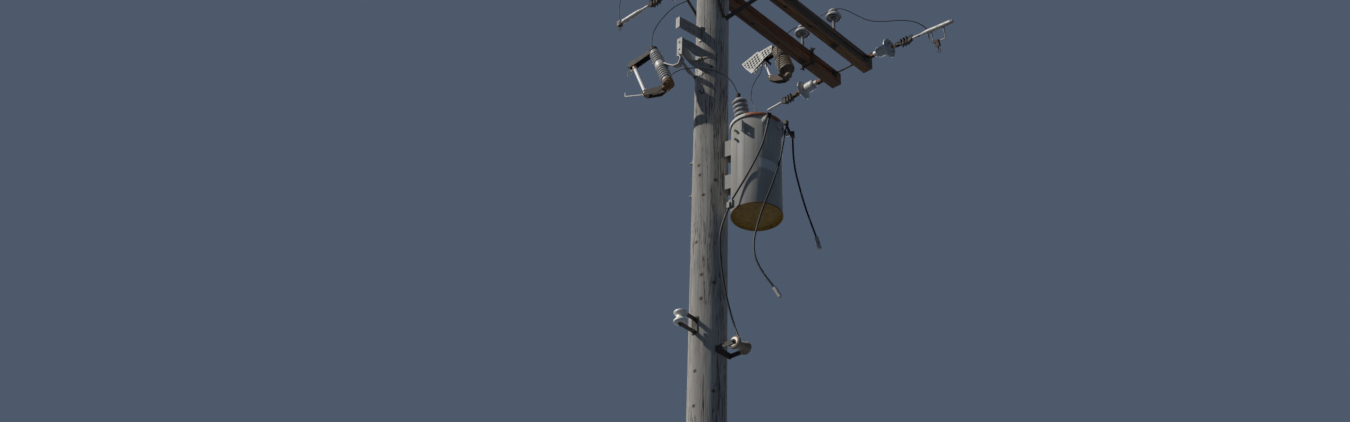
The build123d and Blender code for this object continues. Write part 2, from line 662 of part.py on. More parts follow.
def make_left_hanger():
    """Channel on the wing bracket's nose, with a bent strap out to the porcelain's middle."""
    x = -CHANNEL_BACK - CHANNEL_T / 2
    low = WING_Z - 103
    high = WING_Z + 53
    middle = (low + high) / 2
    channel = block(CHANNEL_T, CHANNEL_W, high - low, (x, CHANNEL_Y, middle))
    for hand in (-1, 1):
        y = CHANNEL_Y + hand * (CHANNEL_W - CHANNEL_T) / 2
        inset = x + (CHANNEL_DEPTH - CHANNEL_T) / 2
        channel += block(CHANNEL_DEPTH, CHANNEL_T, high - low, (inset, y, middle))
    for z in (WING_Z + 20, WING_Z - 48):
        channel += rod(BOLT_R, (x, 0, z), (x - CHANNEL_T / 2 - 5, 0, z))
    strap_x = x - 10
    start = (strap_x, CHANNEL_Y - 5, low + 3)
    end = (strap_x,) + cutout_point(LEFT, 0, -LEFT.band_r - 5, LEFT.band_up)[1:]
    bends = [(strap_x, -38, low - 55), (strap_x, -20, low - 101), (strap_x, 30, low - 93), (strap_x, 70, low - 65)]
    path = FilletPolyline(start, *bends, end, radius=16)
    strap = sweep(Plane(origin=start, x_dir=(1, 0, 0), z_dir=(0, -30, -58)) * Rectangle(CHANNEL_W - 4, 8), path)
    return channel + strap + body_band(LEFT)


def make_right_hanger():
    """Plates bolted across the crossarm, with an arm out to the porcelain's middle."""
    x = RIGHT.mid[0] + 72
    plate = 7
    shape = block(110, plate, 70, (x - 37, ARM_OUT + plate / 2, RIGHT.mid[2] - 30))
    for y in (ARM_OUT + plate / 2, ARM_IN - plate / 2):
        shape += block(32, plate, ARM_H + 58, (x, y, ARM_MID))
    for up in (-1, 1):
        bolt_z = ARM_MID + up * (ARM_H / 2 + 12)
        shape += rod(BOLT_R, (x, ARM_IN - 30, bolt_z), (x, ARM_OUT + 24, bolt_z))
    end = cutout_point(RIGHT, 0, -RIGHT.band_r - 4, RIGHT.band_up)
    reach = end[1] - ARM_OUT - plate / 2
    shape += block(36, reach, 10, (RIGHT.mid[0], ARM_OUT + plate / 2 + reach / 2, end[2]))
    return shape + body_band(RIGHT)


def saddle(low, high):
    """Curved foot on the pole's -X side between two heights."""
    inner = seat(low)
    ring = Cylinder(inner + WING_T, high - low) - Cylinder(inner, high - low + 2)
    edge = inner * cos(radians(WING_FOOT + 3))
    ring -= block(4 * inner, 4 * inner, high - low + 4, (2 * inner - edge, 0, 0))
    return Pos(0, 0, (low + high) / 2) * ring


def through_bolt(face, z):
    """Bolt along X through the pole, from a bracket's face to a square washer and a nut on the far side."""
    far = seat(z - WASHER / 2)
    bolt = rod(BOLT_R, (-face - NUT_T - 6, 0, z), (far + WASHER_T + NUT_T + 12, 0, z))
    bolt += block(NUT_T, NUT, NUT, (-face - NUT_T / 2, 0, z))
    bolt += block(WASHER_T, WASHER, WASHER, (far + WASHER_T / 2, 0, z))
    return bolt + block(NUT_T, NUT, NUT, (far + WASHER_T + NUT_T / 2, 0, z))


def make_wing_bracket():
    """Two pairs of leaf-shaped plates, spread as a V from a nose to curved feet on the pole."""
    low = WING_Z - WING_LOW
    foot_r = seat(low) + WING_T / 2
    foot = (foot_r * cos(radians(WING_FOOT)), foot_r * sin(radians(WING_FOOT)))
    span = hypot(WING_REACH - foot[0], foot[1] - WING_APEX_Y)
    upper = [(-11, 44), (65, 62), (124, 52), (span - 30, 39), (span, 39)]
    upper_under = [(span, -3), (span - 40, -12), (168, -37), (126, -45), (67, -23), (-11, 12)]
    lower = [(-11, -74), (20, -84), (50, -100), (110, -105), (170, -105), (span, -102)]
    lower_under = [(span, -WING_LOW), (197, -WING_LOW), (162, -150), (111, -154), (60, -131), (34, -110),
                   (14, -93), (-11, -90)]
    nose = -CHANNEL_BACK + 0.1 + WING_T / 2
    shape = block(WING_T, 2 * WING_APEX_Y + 10, 134, (nose, 0, WING_Z - 24))
    for hand in (-1, 1):
        run = Vector(WING_REACH - foot[0], hand * (foot[1] - WING_APEX_Y), 0).normalized()
        apex = (-WING_REACH, hand * WING_APEX_Y, WING_Z)
        plane = Plane(origin=apex, x_dir=run, z_dir=run.cross(Vector(0, 0, 1)))
        for top, under in ((upper, upper_under), (lower, lower_under)):
            edge = Spline(*top) + Line(top[-1], under[0]) + Spline(*under) + Line(under[-1], top[0])
            shape += extrude(plane * make_face(edge), WING_T / 2, both=True)
    shape += saddle(WING_Z - 3, WING_Z + 39) + saddle(low, WING_Z - 102)
    strap_low = low - 10
    strap_h = 200
    face = seat(strap_low) + WING_T
    shape += block(WING_T, 40, strap_h, (-face + WING_T / 2, 0, strap_low + strap_h / 2))
    return shape + through_bolt(face, WING_Z)


def make_empty_bracket():
    """Sloping plate with a turned outer lip, on a flange that is bolted to the pole."""
    low = EMPTY_Z - 115
    face = seat(low) + 8
    plate = [(-face + 2, EMPTY_Z - 102), (-face + 2, EMPTY_Z + 3), (-EMPTY_REACH, EMPTY_Z - 35),
             (-EMPTY_REACH, EMPTY_Z - 130)]
    shape = extrude(Plane.XZ * make_face(Polyline(*plate, close=True)), 4, both=True)
    shape += block(5, 36, 95, (-EMPTY_REACH + 2.5, 14, EMPTY_Z - 82.5))
    shape += block(8, 40, 130, (-face + 4, 0, low + 65))
    return shape + through_bolt(face, EMPTY_Z)


# Transformer, built with +X from the pole towards the can, then turned
def turn_can(shape):
    return Rot(0, 0, CAN_AZ) * shape


def can(shape):
    return turn_can(Pos(CAN_STAND, 0, 0) * shape)


def make_tank():
    """Open-topped tank with a recessed floor, two lifting lugs, two stud bosses and the bushings' holes."""
    tank = Pos(0, 0, CAN_BOTTOM) * Cylinder(CAN_R, CAN_HEIGHT, align=UP_FROM)
    inner = CAN_R - CAN_WALL
    tank -= Pos(0, 0, CAN_BOTTOM - 1) * Cylinder(inner, FLOOR_UP + 1, align=UP_FROM)
    tank -= Pos(0, 0, CAN_BOTTOM + FLOOR_UP + CAN_WALL) * Cylinder(inner, CAN_HEIGHT, align=UP_FROM)
    z = CAN_TOP - LUG_DROP
    for hand in (-1, 1):
        lug = block(10, LUG_REACH + 3, LUG_H, (0, hand * (CAN_R + (LUG_REACH - 3) / 2), z))
        lug -= cross_disc(10, 14, hand * (CAN_R + LUG_REACH - 18), z - LUG_H / 2 + 20)
        tank += lug
    for drop in STUD_DROPS:
        stud = Rot(0, 90, 0) * Cylinder(9, 33, align=UP_FROM)
        tank += Rot(0, 0, STUD_AZ) * Pos(CAN_R - 3, 0, CAN_TOP - drop) * stud
    for az in LV_AZ:
        tank -= Rot(0, 0, az) * Pos(CAN_R, 0, LV_Z) * Rot(0, 90, 0) * Cylinder(LV_SPIGOT_R + 0.5, 40)
    return can(tank)


def make_cover():
    """Domed cover with two leaning sockets for the high-voltage bushings."""
    rim = CAN_R + 4
    dome = [(rim, 0), (rim, COVER_T), (CAN_R - 20, COVER_T + 8), (60, COVER_T + 22)]
    cover = Pos(0, 0, CAN_TOP) * turned(dome)
    cover -= Pos(0, 0, CAN_TOP - 1) * turned([(CAN_R - 24, 0), (CAN_R - 24, 4), (60, COVER_T + 14)])
    for hand in (-1, 1):
        lean = Rot(0, 0, hand * HV_AZ) * Pos(HV_AT, 0, CAN_TOP + HV_BASE) * Rot(0, HV_LEAN, 0)
        cover += lean * Pos(0, 0, -14) * Cylinder(44, 18, align=UP_FROM)
        cover -= lean * Cylinder(HV_SPIGOT_R + 0.5, 120)
    return can(cover)


def make_band():
    """Clamping band round the cover's rim."""
    low = CAN_TOP - BAND_H + COVER_T + 3
    band = Pos(0, 0, low) * Cylinder(CAN_R + BAND_T, BAND_H, align=UP_FROM)
    band -= Pos(0, 0, low - 1) * Cylinder(CAN_R + 4.2, BAND_H + 2, align=UP_FROM)
    return can(band)


def hv_frame(hand, shape):
    return can(Rot(0, 0, hand * HV_AZ) * Pos(HV_AT, 0, CAN_TOP + HV_BASE) * Rot(0, HV_LEAN, 0) * shape)


def make_hv_bushings():
    """Four sloping sheds on a spigot that passes through the cover."""
    body = turned([(HV_SPIGOT_R, -30), (HV_SPIGOT_R, 4), (40, 4), (44, 8), (44, 20)]
                  + sheds(36, 55, 24, (HV_HEIGHT - 24) / 4, 4) + [(32, HV_HEIGHT), (20, HV_HEIGHT + 6)])
    return Compound(children=[hv_frame(hand, body) for hand in (-1, 1)])


def make_hv_terminals():
    top = HV_HEIGHT + 6
    body = turned([(14, top), (14, top + 8), (8, top + 9), (8, top + 42)])
    body += block(26, 20, 22, (0, 0, top + 30))
    return Compound(children=[hv_frame(hand, body) for hand in (-1, 1)])


def lv_frame(az, shape):
    return can(Rot(0, 0, az) * Pos(CAN_R, 0, LV_Z) * Rot(0, 90, 0) * shape)


def make_lv_bushings():
    body = turned([(LV_SPIGOT_R, -20), (LV_SPIGOT_R, 1), (27, 1), (27, 18), (20, 24), (20, 44), (12, 50)])
    return Compound(children=[lv_frame(az, body) for az in LV_AZ])


def make_lv_terminals():
    body = turned([(8, 50), (8, 62)]) + block(34, 30, 26, (6, 0, 74))
    return Compound(children=[lv_frame(az, body) for az in LV_AZ])


def make_hanger(level):
    """Channel welded to the tank, its back plate flat on the pole and drilled for the bolt."""
    z = HANGER_Z[level]
    height = HANGER_H[level]
    face = seat(z - height / 2)
    depth = CAN_STAND - CAN_R * 0.985 - face
    shape = block(HANGER_T, HANGER_W, height, (face + HANGER_T / 2, 0, z))
    for hand in (-1, 1):
        shape += block(depth, HANGER_T, height, (face + depth / 2, hand * (HANGER_W - HANGER_T) / 2, z))
    shape -= Pos(CAN_STAND, 0, z) * Cylinder(CAN_R, 2 * height)
    shape -= rod(HOLE_R, (face - 20, 0, z), (face + 30, 0, z))
    return turn_can(shape)


def make_hanger_bolts():
    bolts = []
    for z, height in zip(HANGER_Z, HANGER_H):
        face = seat(z - height / 2) + HANGER_T
        back = -seat(z - WASHER / 2)
        bolt = rod(BOLT_R, (back - 40, 0, z), (face + 20, 0, z))
        bolt += block(NUT_T, NUT, NUT, (face + NUT_T / 2, 0, z))
        bolt += block(WASHER_T, WASHER, WASHER, (back - WASHER_T / 2, 0, z))
        bolt += block(NUT_T, NUT, NUT, (back - WASHER_T - NUT_T / 2, 0, z))
        bolts.append(turn_can(bolt))
    return Compound(children=bolts)


# Secondary hardware
def spool(r, h):
    """Porcelain spool with a waist, its hole along Z."""
    waist = 0.62 * r
    low = [(0.7 * r, -h / 2), (r, -h / 2 + 8), (r, -h / 2 + 20), (waist, -8)]
    body = turned(low + [(out, -z) for out, z in reversed(low)])
    return body - Cylinder(SPOOL_BOLT_R + 1.5, h + 2)


def make_clevis_left():
    """Two straps from a pole plate, with the spool's bolt through their ends."""
    face = -seat(SPOOL_Z - 65)
    shape = block(6, 50, 130, (face - 3, 0, SPOOL_Z))
    for up in (-1, 1):
        z = SPOOL_Z + up * (SPOOL_H / 2 + 3)
        shape += block(face - SPOOL_X, 34, 6, ((face + SPOOL_X) / 2, 0, z))
        shape += Pos(SPOOL_X, 0, z) * Cylinder(17, 6)
    return shape + rod(SPOOL_BOLT_R, (SPOOL_X, 0, SPOOL_Z - 66), (SPOOL_X, 0, SPOOL_Z + 66))


def make_clevis_right():
    """Two straps from a cross plate, with the spool's bolt along X through their ends."""
    face = -seat(RACK_Z - 23)
    strap = RACK_SPOOL_H / 2 + 3
    shape = block(2 * strap + 6, 6, 46, (0, face - 3, RACK_Z))
    for hand in (-1, 1):
        shape += block(6, face - RACK_Y, 34, (hand * strap, (face + RACK_Y) / 2, RACK_Z))
        shape += Pos(hand * strap, 0, 0) * cross_disc(17, 6, RACK_Y, RACK_Z)
    return shape + rod(SPOOL_BOLT_R, (-strap - 16, RACK_Y, RACK_Z), (strap + 16, RACK_Y, RACK_Z))


# Wires
def wire(name, r, points):
    """Tube along straight runs joined by tangent arcs as large as the runs allow."""
    pts = [Vector(*p) for p in points]
    radii = []
    for a, b, c in zip(pts, pts[1:], pts[2:]):
        half = radians((b - a).get_angle(c - b)) / 2
        radii.append(0.45 * min((b - a).length, (c - b).length) / tan(half))
    path = FilletPolyline(*pts, radius=radii)
    tube = sweep(Plane(origin=pts[0], z_dir=pts[1] - pts[0]) * Circle(r), path)
    ratio = path.length * pi * r * r / tube.volume
    print(name, "length", round(path.length), "least radius", round(min(radii)), "ratio", round(ratio, 4))
    save(name, tube)


LINE_LEFT = [(-360, 277, 10152.5), (-351, 291, 10260), (-320, 273, 10367), (-270, 260, 10466),
             (-212, 252, 10562),
             (-146, 249, 10652), (-68, 248, 10732), (10, 246, 10812), (64, 244, 10910), (86, 239, 11019),
             (88, 223, 11130), (85, 200, 11239), (77, 166, 11345), (62, 123, 11448), (40, 85, 11545),
             (12, 60, 11635)]
LOAD_LEFT = [(-400, 103, 9703), (-402, 55, 9736), (-390, 5, 9764), (-368, -48, 9776), (-338, -98, 9777),
             (-300, -142, 9777), (-262, -180, 9771), (-212, -229, 9758), (-159, -281, 9717),
             (-124, -321, 9649),
             (-106, -339, 9566.5)]
LOAD_RIGHT = [(1263, 534, 11151), (1262, 540, 11120), (1256, 545, 11085), (1249, 549, 11046),
              (1238, 549, 11000),
              (1216, 540, 10952), (1180, 526, 10900), (1140, 514, 10848), (1095, 502, 10770),
              (1050, 491, 10690),
              (1000, 456, 10595), (950, 419, 10500), (905, 374, 10412), (850, 318, 10335), (790, 262, 10262),
              (732, 207, 10190), (675, 151, 10118), (620, 97, 10045), (565, 45, 9973), (510, -9, 9899),
              (455, -60, 9829), (400, -112, 9757), (344, -165, 9692), (283, -221, 9628), (226, -274, 9566.5)]
JUMPER_RIGHT = [(1688, -858, 10846), (1680, -828, 10862), (1684, -808, 10900), (1694, -803, 10945),
                (1690, -803, 10985), (1670, -795, 11018), (1640, -772, 11044), (1605, -740, 11068),
                (1560, -665, 11098), (1515, -575, 11108), (1480, -485, 11125), (1440, -400, 11155),
                (1390, -320, 11225), (1340, -240, 11300), (1300, -161, 11318), (1300, -55, 11312),
                (1301, 53, 11312), (1300, 161, 11318), (1285, 215, 11310), (1262, 262, 11280),
                (1238, 300, 11238),
                (1222, 326, 11190), (1213, 350, 11140), (1211, 356, 11085), (1212, 352, 11030),
                (1214, 349, 10975),
                (1219, 348, 10920), (1234, 354, 10865.3)]
JUMPER_MIDDLE = [(0, 978, 10969), (1, 1000, 11060), (3, 1000, 11170), (4, 970, 11280), (4, 915, 11380),
                 (3, 838, 11460), (2, 745, 11525), (1, 640, 11570), (0, 530, 11603), (0, 425, 11626),
                 (0, 310, 11640), (0, 195, 11649), (0, 80, 11654), (0, -35, 11655), (0, -145, 11652),
                 (0, -255, 11644), (0, -370, 11630), (0, -475, 11605), (1, -575, 11571), (2, -675, 11525),
                 (3, -768, 11466), (3, -853, 11393), (3, -921, 11300), (3, -964, 11195), (2, -982, 11085),
                 (0, -978, 10969)]
LEAD_LEFT = [(-58, -585, 9267), (-66, -557, 9098), (-93, -490, 8930), (-118, -412, 8785), (-150, -328, 8640)]
LEAD_MIDDLE = [(86, -621, 9267), (64, -611, 9090), (30, -600, 8905), (-15, -575, 8732), (-62, -542, 8562),
               (-98, -512, 8391), (-122, -490, 8217), (-98, -519, 8052), (-30, -600, 7900)]
LEAD_RIGHT = [(222, -572, 9267), (226, -569, 9125), (238, -576, 8983), (259, -596, 8843), (280, -619, 8704),
              (304, -648, 8567), (330, -680, 8430)]
LEAD_TAIL = [(-165, -315, 8570), (-185, -262, 8440), (-160, -232, 8299), (-115, -216, 8138),
             (-65, -212, 7978),
             (-20, -218, 7840), (10, -238, 7722), (3, -284, 7619)]


def make_connectors():
    """Pressed connectors on the lower ends of the leads."""
    x, y, z = LEAD_LEFT[-1]
    left = block(26, 30, 60, (x, y, z - 30)) + block(24, 24, 50, (x - 15, y + 10, z - 46))
    x, y, z = LEAD_MIDDLE[-1]
    middle = rod(2 * LEAD_R, (x, y, z), (x + 24, y - 28, z - 70))
    x, y, z = LEAD_RIGHT[-1]
    right = rod(2 * LEAD_R, (x, y, z), (x + 12, y - 18, z - 90))
    return {"connector_left": left, "connector_middle": middle, "connector_right": right}


def make_cutouts():
    """Porcelain, upper contact, hinge and fuse holder of each cutout, by node name."""
    pieces = {"insulator": (left_porcelain(), right_porcelain()),
              "upper_contact": (upper_contact(LEFT), right_upper_contact()),
              "hinge": (left_lower_contact(), right_lower_contact()),
              "fuse_holder": (left_fuse_holder(), fuse_holder(RIGHT))}
    shapes = {}
    for piece, (left, right) in pieces.items():
        shapes[f"cutout_left_{piece}"] = at_cutout(LEFT, left)
        shapes[f"cutout_right_{piece}"] = at_cutout(RIGHT, right)
    return shapes


def main():
    save("pole", make_pole())
    save("crossarm_back", make_arm(1))
    save("crossarm_front", make_arm(-1))
    save("arm_bolts", make_arm_bolts())
    save("braces_back", make_braces(1))
    save("braces_front", make_braces(-1))
    save("insulator_pins", make_pins())
    save("pin_insulators", make_pin_insulators())
    save("dead_end_insulators", make_string_insulators())
    save("strain_clamps", make_clamps())
    save("line_sleeves", make_sleeves())
    save("hot_line_clamps", make_hot_line_clamps())
    save("cutout_left_hanger", make_left_hanger())
    save("cutout_right_hanger", make_right_hanger())
    for name, shape in make_cutouts().items():
        save(name, shape)
    save("cutout_right_hood", make_hood())
    for cut in (LEFT, RIGHT):
        print("trunnion", [round(v, 3) for v in cutout_point(cut, 0, cut.tube_out, TRUNNION_U)])
    save("tank", make_tank())
    save("tank_cover", make_cover())
    save("cover_band", make_band())
    save("hv_bushings", make_hv_bushings())
    save("hv_terminals", make_hv_terminals())
    save("lv_bushings", make_lv_bushings())
    save("lv_terminals", make_lv_terminals())
    save("hanger_upper", make_hanger(0))
    save("hanger_lower", make_hanger(1))
    save("hanger_bolts", make_hanger_bolts())
    save("wing_bracket", make_wing_bracket())
    save("empty_bracket", make_empty_bracket())
    save("spool_clevis", make_clevis_left())
    save("secondary_spool", Pos(SPOOL_X, 0, SPOOL_Z) * spool(SPOOL_R, SPOOL_H))
    save("rack_clevis", make_clevis_right())
    save("rack_spool", Pos(0, RACK_Y, RACK_Z) * Rot(0, 90, 0) * spool(SPOOL_R, RACK_SPOOL_H))
    for name, shape in make_connectors().items():
        save(name, shape)
    wire("line_wire_left", BARE_R, LINE_LEFT)
    wire("load_wire_left", BARE_R, LOAD_LEFT)
    wire("load_wire_right", BARE_R, LOAD_RIGHT)
    wire("jumper_right", BARE_R, JUMPER_RIGHT)
    wire("jumper_middle", BARE_R, JUMPER_MIDDLE)
    save("tap_connector", block(30, 34, 30, (4, 68, 11650)))
    wire("lead_left", LEAD_R, LEAD_LEFT)
    wire("lead_middle", LEAD_R, LEAD_MIDDLE)
    wire("lead_right", LEAD_R, LEAD_RIGHT)
    wire("lead_tail", LEAD_R, LEAD_TAIL)


main()
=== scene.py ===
"""Looks of the pole with its crossarms, cutouts and transformer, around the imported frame. Metres."""
import json
import math
from collections import namedtuple

import bmesh
import bpy
from mathutils import Matrix, Vector


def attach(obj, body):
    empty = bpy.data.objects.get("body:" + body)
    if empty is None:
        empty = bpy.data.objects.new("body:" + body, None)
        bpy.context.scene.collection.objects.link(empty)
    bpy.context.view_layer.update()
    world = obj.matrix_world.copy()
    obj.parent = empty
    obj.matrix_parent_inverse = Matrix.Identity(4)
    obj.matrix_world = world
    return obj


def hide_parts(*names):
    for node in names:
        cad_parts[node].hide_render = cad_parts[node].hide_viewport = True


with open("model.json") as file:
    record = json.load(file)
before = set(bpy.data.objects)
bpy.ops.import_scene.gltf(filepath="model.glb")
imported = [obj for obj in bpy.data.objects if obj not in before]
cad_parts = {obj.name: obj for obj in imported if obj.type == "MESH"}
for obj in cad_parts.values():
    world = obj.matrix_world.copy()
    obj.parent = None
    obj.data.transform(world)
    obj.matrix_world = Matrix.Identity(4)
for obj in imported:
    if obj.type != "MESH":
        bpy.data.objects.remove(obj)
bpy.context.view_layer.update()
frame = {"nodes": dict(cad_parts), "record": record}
NODES = frame["nodes"]
ROOT = "frame"

# Camera: its place, its angles in radians, its focal length in pixels of the photograph, and its sensor in mm
CAMERA_AT = (-8.2145, -7.2201, 1.6)
HEADING = -0.8275
PITCH = 0.5796
ROLL = 0.0271
FOCAL_PIXELS = 1868.2
PHOTO_WIDTH = 1350
SENSOR_WIDTH = 36


def aim(heading, pitch, roll):
    """Turn of a camera that looks along a heading, tilted up by pitch and rolled about its view."""
    level = Vector((-math.sin(heading), math.cos(heading), 0))
    ahead = math.cos(pitch) * level + math.sin(pitch) * Vector((0, 0, 1))
    right = Vector((math.cos(heading), math.sin(heading), 0))
    up = right.cross(ahead)
    right_rolled = math.cos(roll) * right + math.sin(roll) * up
    up_rolled = math.cos(roll) * up - math.sin(roll) * right
    return Matrix((right_rolled, up_rolled, -ahead)).transposed()


camera = bpy.data.objects.new("camera", bpy.data.cameras.new("camera"))
bpy.context.scene.collection.objects.link(camera)
camera.matrix_world = Matrix.Translation(CAMERA_AT) @ aim(HEADING, PITCH, ROLL).to_4x4()
camera.data.sensor_width = SENSOR_WIDTH
camera.data.lens = FOCAL_PIXELS * SENSOR_WIDTH / PHOTO_WIDTH
camera.data.clip_end = 300
bpy.context.scene.camera = camera


# Light
def sun(name, direction, energy, colour, angle):
    """Sun that shines along a direction, as wide as the angle in degrees."""
    data = bpy.data.lights.new(name, "SUN")
    data.energy = energy
    data.color = colour
    data.angle = math.radians(angle)
    lamp = bpy.data.objects.new(name, data)
    bpy.context.scene.collection.objects.link(lamp)
    lamp.rotation_mode = "QUATERNION"
    lamp.rotation_quaternion = Vector(direction).to_track_quat("-Z", "Y")


sun("key", (0.655, -0.49, -0.574), 4.9, (1.0, 0.965, 0.90), 1.5)
sun("back", (-0.70, -0.55, -0.46), 1.0, (0.92, 0.96, 1.0), 40)

world = bpy.data.worlds.new("studio")
bpy.context.scene.world = world
world.use_nodes = True
background = world.node_tree.nodes["Background"]
background.inputs["Color"].default_value = (0.50, 0.68, 1.0, 1)
background.inputs["Strength"].default_value = 0.15
bpy.context.scene.view_settings.view_transform = "Standard"


# Materials
class Shader:
    """Node building with short calls: inputs are numbers, colours or other nodes' outputs."""

    def __init__(self, name):
        self.material = bpy.data.materials.new(name)
        self.material.use_nodes = True
        self.tree = self.material.node_tree
        self.out = self.tree.nodes["Material Output"]
        self.main = self.tree.nodes["Principled BSDF"]
        self.place = self.tree.nodes.new("ShaderNodeTexCoord").outputs["Object"]

    def feed(self, socket, value):
        if isinstance(value, bpy.types.NodeSocket):
            self.tree.links.new(value, socket)
        elif isinstance(value, (tuple, list)) and len(value) == 3 and socket.type == "RGBA":
            socket.default_value = (*value, 1)
        else:
            socket.default_value = value

    def node(self, kind, output=0, settings=(), **inputs):
        made = self.tree.nodes.new(kind)
        for key, value in dict(settings).items():
            setattr(made, key, value)
        for key, value in inputs.items():
            self.feed(made.inputs[key.replace("_", " ")], value)
        return made.outputs[output]

    def mapped(self, scale=(1, 1, 1), place=None):
        return self.node("ShaderNodeMapping", Vector=place or self.place, Scale=scale)

    def noise(self, scale, detail=4, rough=0.6, place=None, distort=0.0):
        return self.node("ShaderNodeTexNoise", Vector=place or self.place, Scale=scale, Detail=detail,
                         Roughness=rough, Distortion=distort)

    def ramp(self, value, *stops):
        """Ramp through stops of (position, colour or grey level)."""
        made = self.tree.nodes.new("ShaderNodeValToRGB")
        elements = made.color_ramp.elements
        while len(elements) < len(stops):
            elements.new(0.5)
        for element, (at, colour) in zip(elements, stops):
            element.position = at
            element.color = (*colour, 1) if isinstance(colour, (tuple, list)) else (colour, colour, colour, 1)
        self.feed(made.inputs["Fac"], value)
        return made.outputs["Color"]

    def mix(self, factor, a, b):
        made = self.tree.nodes.new("ShaderNodeMix")
        made.data_type = "RGBA"
        self.feed(made.inputs["Factor"], factor)
        self.feed(made.inputs[6], a)
        self.feed(made.inputs[7], b)
        return made.outputs[2]

    def math(self, operation, a, b=0.5, clamp=False):
        made = self.tree.nodes.new("ShaderNodeMath")
        made.operation = operation
        made.use_clamp = clamp
        self.feed(made.inputs[0], a)
        self.feed(made.inputs[1], b)
        return made.outputs[0]

    def axis(self, name, place=None):
        return self.node("ShaderNodeSeparateXYZ", output="XYZ".index(name), Vector=place or self.place)

    def far_from(self, spot):
        """Distance from a spot on the object."""
        made = self.tree.nodes.new("ShaderNodeVectorMath")
        made.operation = "DISTANCE"
        self.feed(made.inputs[0], self.place)
        made.inputs[1].default_value = spot
        return made.outputs["Value"]

    def finish(self, colour, rough=0.5, metal=0.0, bump=None, strength=0.3, depth=0.002, **constants):
        self.feed(self.main.inputs["Base Color"], colour)
        self.feed(self.main.inputs["Roughness"], rough)
        self.main.inputs["Metallic"].default_value = metal
        for key, value in constants.items():
            self.main.inputs[key.replace("_", " ")].default_value = value
        if bump is not None:
            normal = self.node("ShaderNodeBump", Height=bump, Strength=strength, Distance=depth)
            self.tree.links.new(normal, self.main.inputs["Normal"])
        return self.material


# Crossarms' middle and outer face, the pins, the spare holes, and the pin insulators' wire grooves
ARM_Y = 0.161
ARM_OUT = 0.2065
PIN_X = 1.3
SPARE_X = (0.670, 0.985)
ARM_GROOVE_Z = 11.268
POLE_TIE = (0.0, -0.1233, 11.608)
TIES = [(x, y, ARM_GROOVE_Z) for x in (-PIN_X, PIN_X) for y in (-ARM_Y, ARM_Y)] + [POLE_TIE]

# Where a string's glaze begins and ends, measured from the arm's outer face
STRING_GLAZE = (0.086, 0.256)

# Can: its axis, the direction in degrees in which it stands off the pole, a radius just outside its inner
# wall, and a height just above its floor
CAN = (0.0720, -0.3672)
CAN_AZ = -78.9
CAN_INNER_R = 0.1765
CAN_FLOOR_Z = 8.626

# Paler strip on the can, as directions in radians and heights
STRIP_AZ = (-1.01, -0.23)
STRIP_Z = (8.855, 8.935)

# Knots, and holes left by old bolts, on the side of the pole that faces the camera
POLE_KNOTS = [(-0.127, -0.001, 9.084), (-0.126, -0.013, 8.998), (-0.066, -0.108, 8.946),
              (-0.120, -0.043, 8.821), (-0.129, 0.005, 8.446), (-0.123, -0.042, 8.171),
              (-0.071, -0.109, 8.107), (-0.124, -0.042, 7.983), (-0.132, -0.007, 7.440),
              (-0.134, -0.002, 7.184), (-0.067, -0.115, 7.283), (-0.094, -0.080, 9.943)]
POLE_HOLES = [(-0.122, 0.006, 10.320), (-0.124, 0.006, 9.744), (-0.124, -0.012, 9.718)]


def crack_line(s, scale, offset):
    """Value that falls to nothing along the middle of cracks, in noise stretched by a scale."""
    place = s.node("ShaderNodeMapping", Vector=s.place, Scale=scale, Location=(offset, offset, offset))
    return s.math("ABSOLUTE", s.math("SUBTRACT", s.noise(1.0, 3, 0.55, place), 0.5))


def crack_ink(s, line, width):
    """0 in a crack of the given width and 1 beside it."""
    return s.ramp(line, (width * 0.35, 0.0), (width, 1.0))


def wood_pole():
    """Weathered grey timber: fine grain, long dark checks, knots and old bolt holes."""
    s = Shader("pole_wood")
    fine = s.noise(1.0, 7, 0.72, s.mapped((190, 190, 4.5)), 0.4)
    broad = s.noise(1.0, 4, 0.6, s.mapped((9, 9, 0.8)))
    patch = s.noise(1.0, 4, 0.6, s.mapped((24, 24, 5)))
    colour = s.ramp(fine, (0.28, (0.23, 0.215, 0.19)), (0.46, (0.42, 0.40, 0.365)),
                    (0.72, (0.58, 0.56, 0.52)))
    colour = s.mix(s.ramp(broad, (0.40, 0.0), (0.66, 0.55)), colour, (0.30, 0.275, 0.24))
    colour = s.mix(s.ramp(patch, (0.52, 0.0), (0.72, 0.5)), colour, (0.19, 0.165, 0.14))
    cracks = None
    for scale, rise, width, offset in ((16, 0.5, 0.012, 0.0), (34, 1.1, 0.016, 3.7), (70, 2.2, 0.022, 8.1)):
        line = crack_line(s, (scale, scale, rise), offset)
        area = s.node("ShaderNodeMapping", Vector=s.place, Scale=(5, 5, 0.9), Location=(offset + 2, 0, 0))
        gate = s.ramp(s.noise(1.0, 2, 0.5, area), (0.42, 1.0), (0.54, 0.0))
        ink = crack_ink(s, s.math("ADD", line, s.math("MULTIPLY", gate, 0.2)), width)
        cracks = ink if cracks is None else s.math("MULTIPLY", cracks, ink)
    colour = s.mix(cracks, (0.030, 0.024, 0.018), colour)
    for spot in POLE_KNOTS:
        near = s.far_from(spot)
        colour = s.mix(s.ramp(near, (0.008, 0.0), (0.019, 1.0)), (0.13, 0.075, 0.045), colour)
        colour = s.mix(s.ramp(near, (0.004, 0.0), (0.007, 1.0)), (0.035, 0.02, 0.014), colour)
    # Painted shade: each old bolt hole is a near-black disc that stands for the shade down its bore
    for spot in POLE_HOLES:
        colour = s.mix(s.ramp(s.far_from(spot), (0.009, 0.0), (0.0105, 1.0)), (0.008, 0.007, 0.006), colour)
    height = s.math("MULTIPLY", s.math("ADD", fine, s.math("MULTIPLY", patch, 0.5)), cracks)
    return s.finish(colour, rough=0.92, bump=height, strength=0.8, depth=0.006, Diffuse_Roughness=1.0)


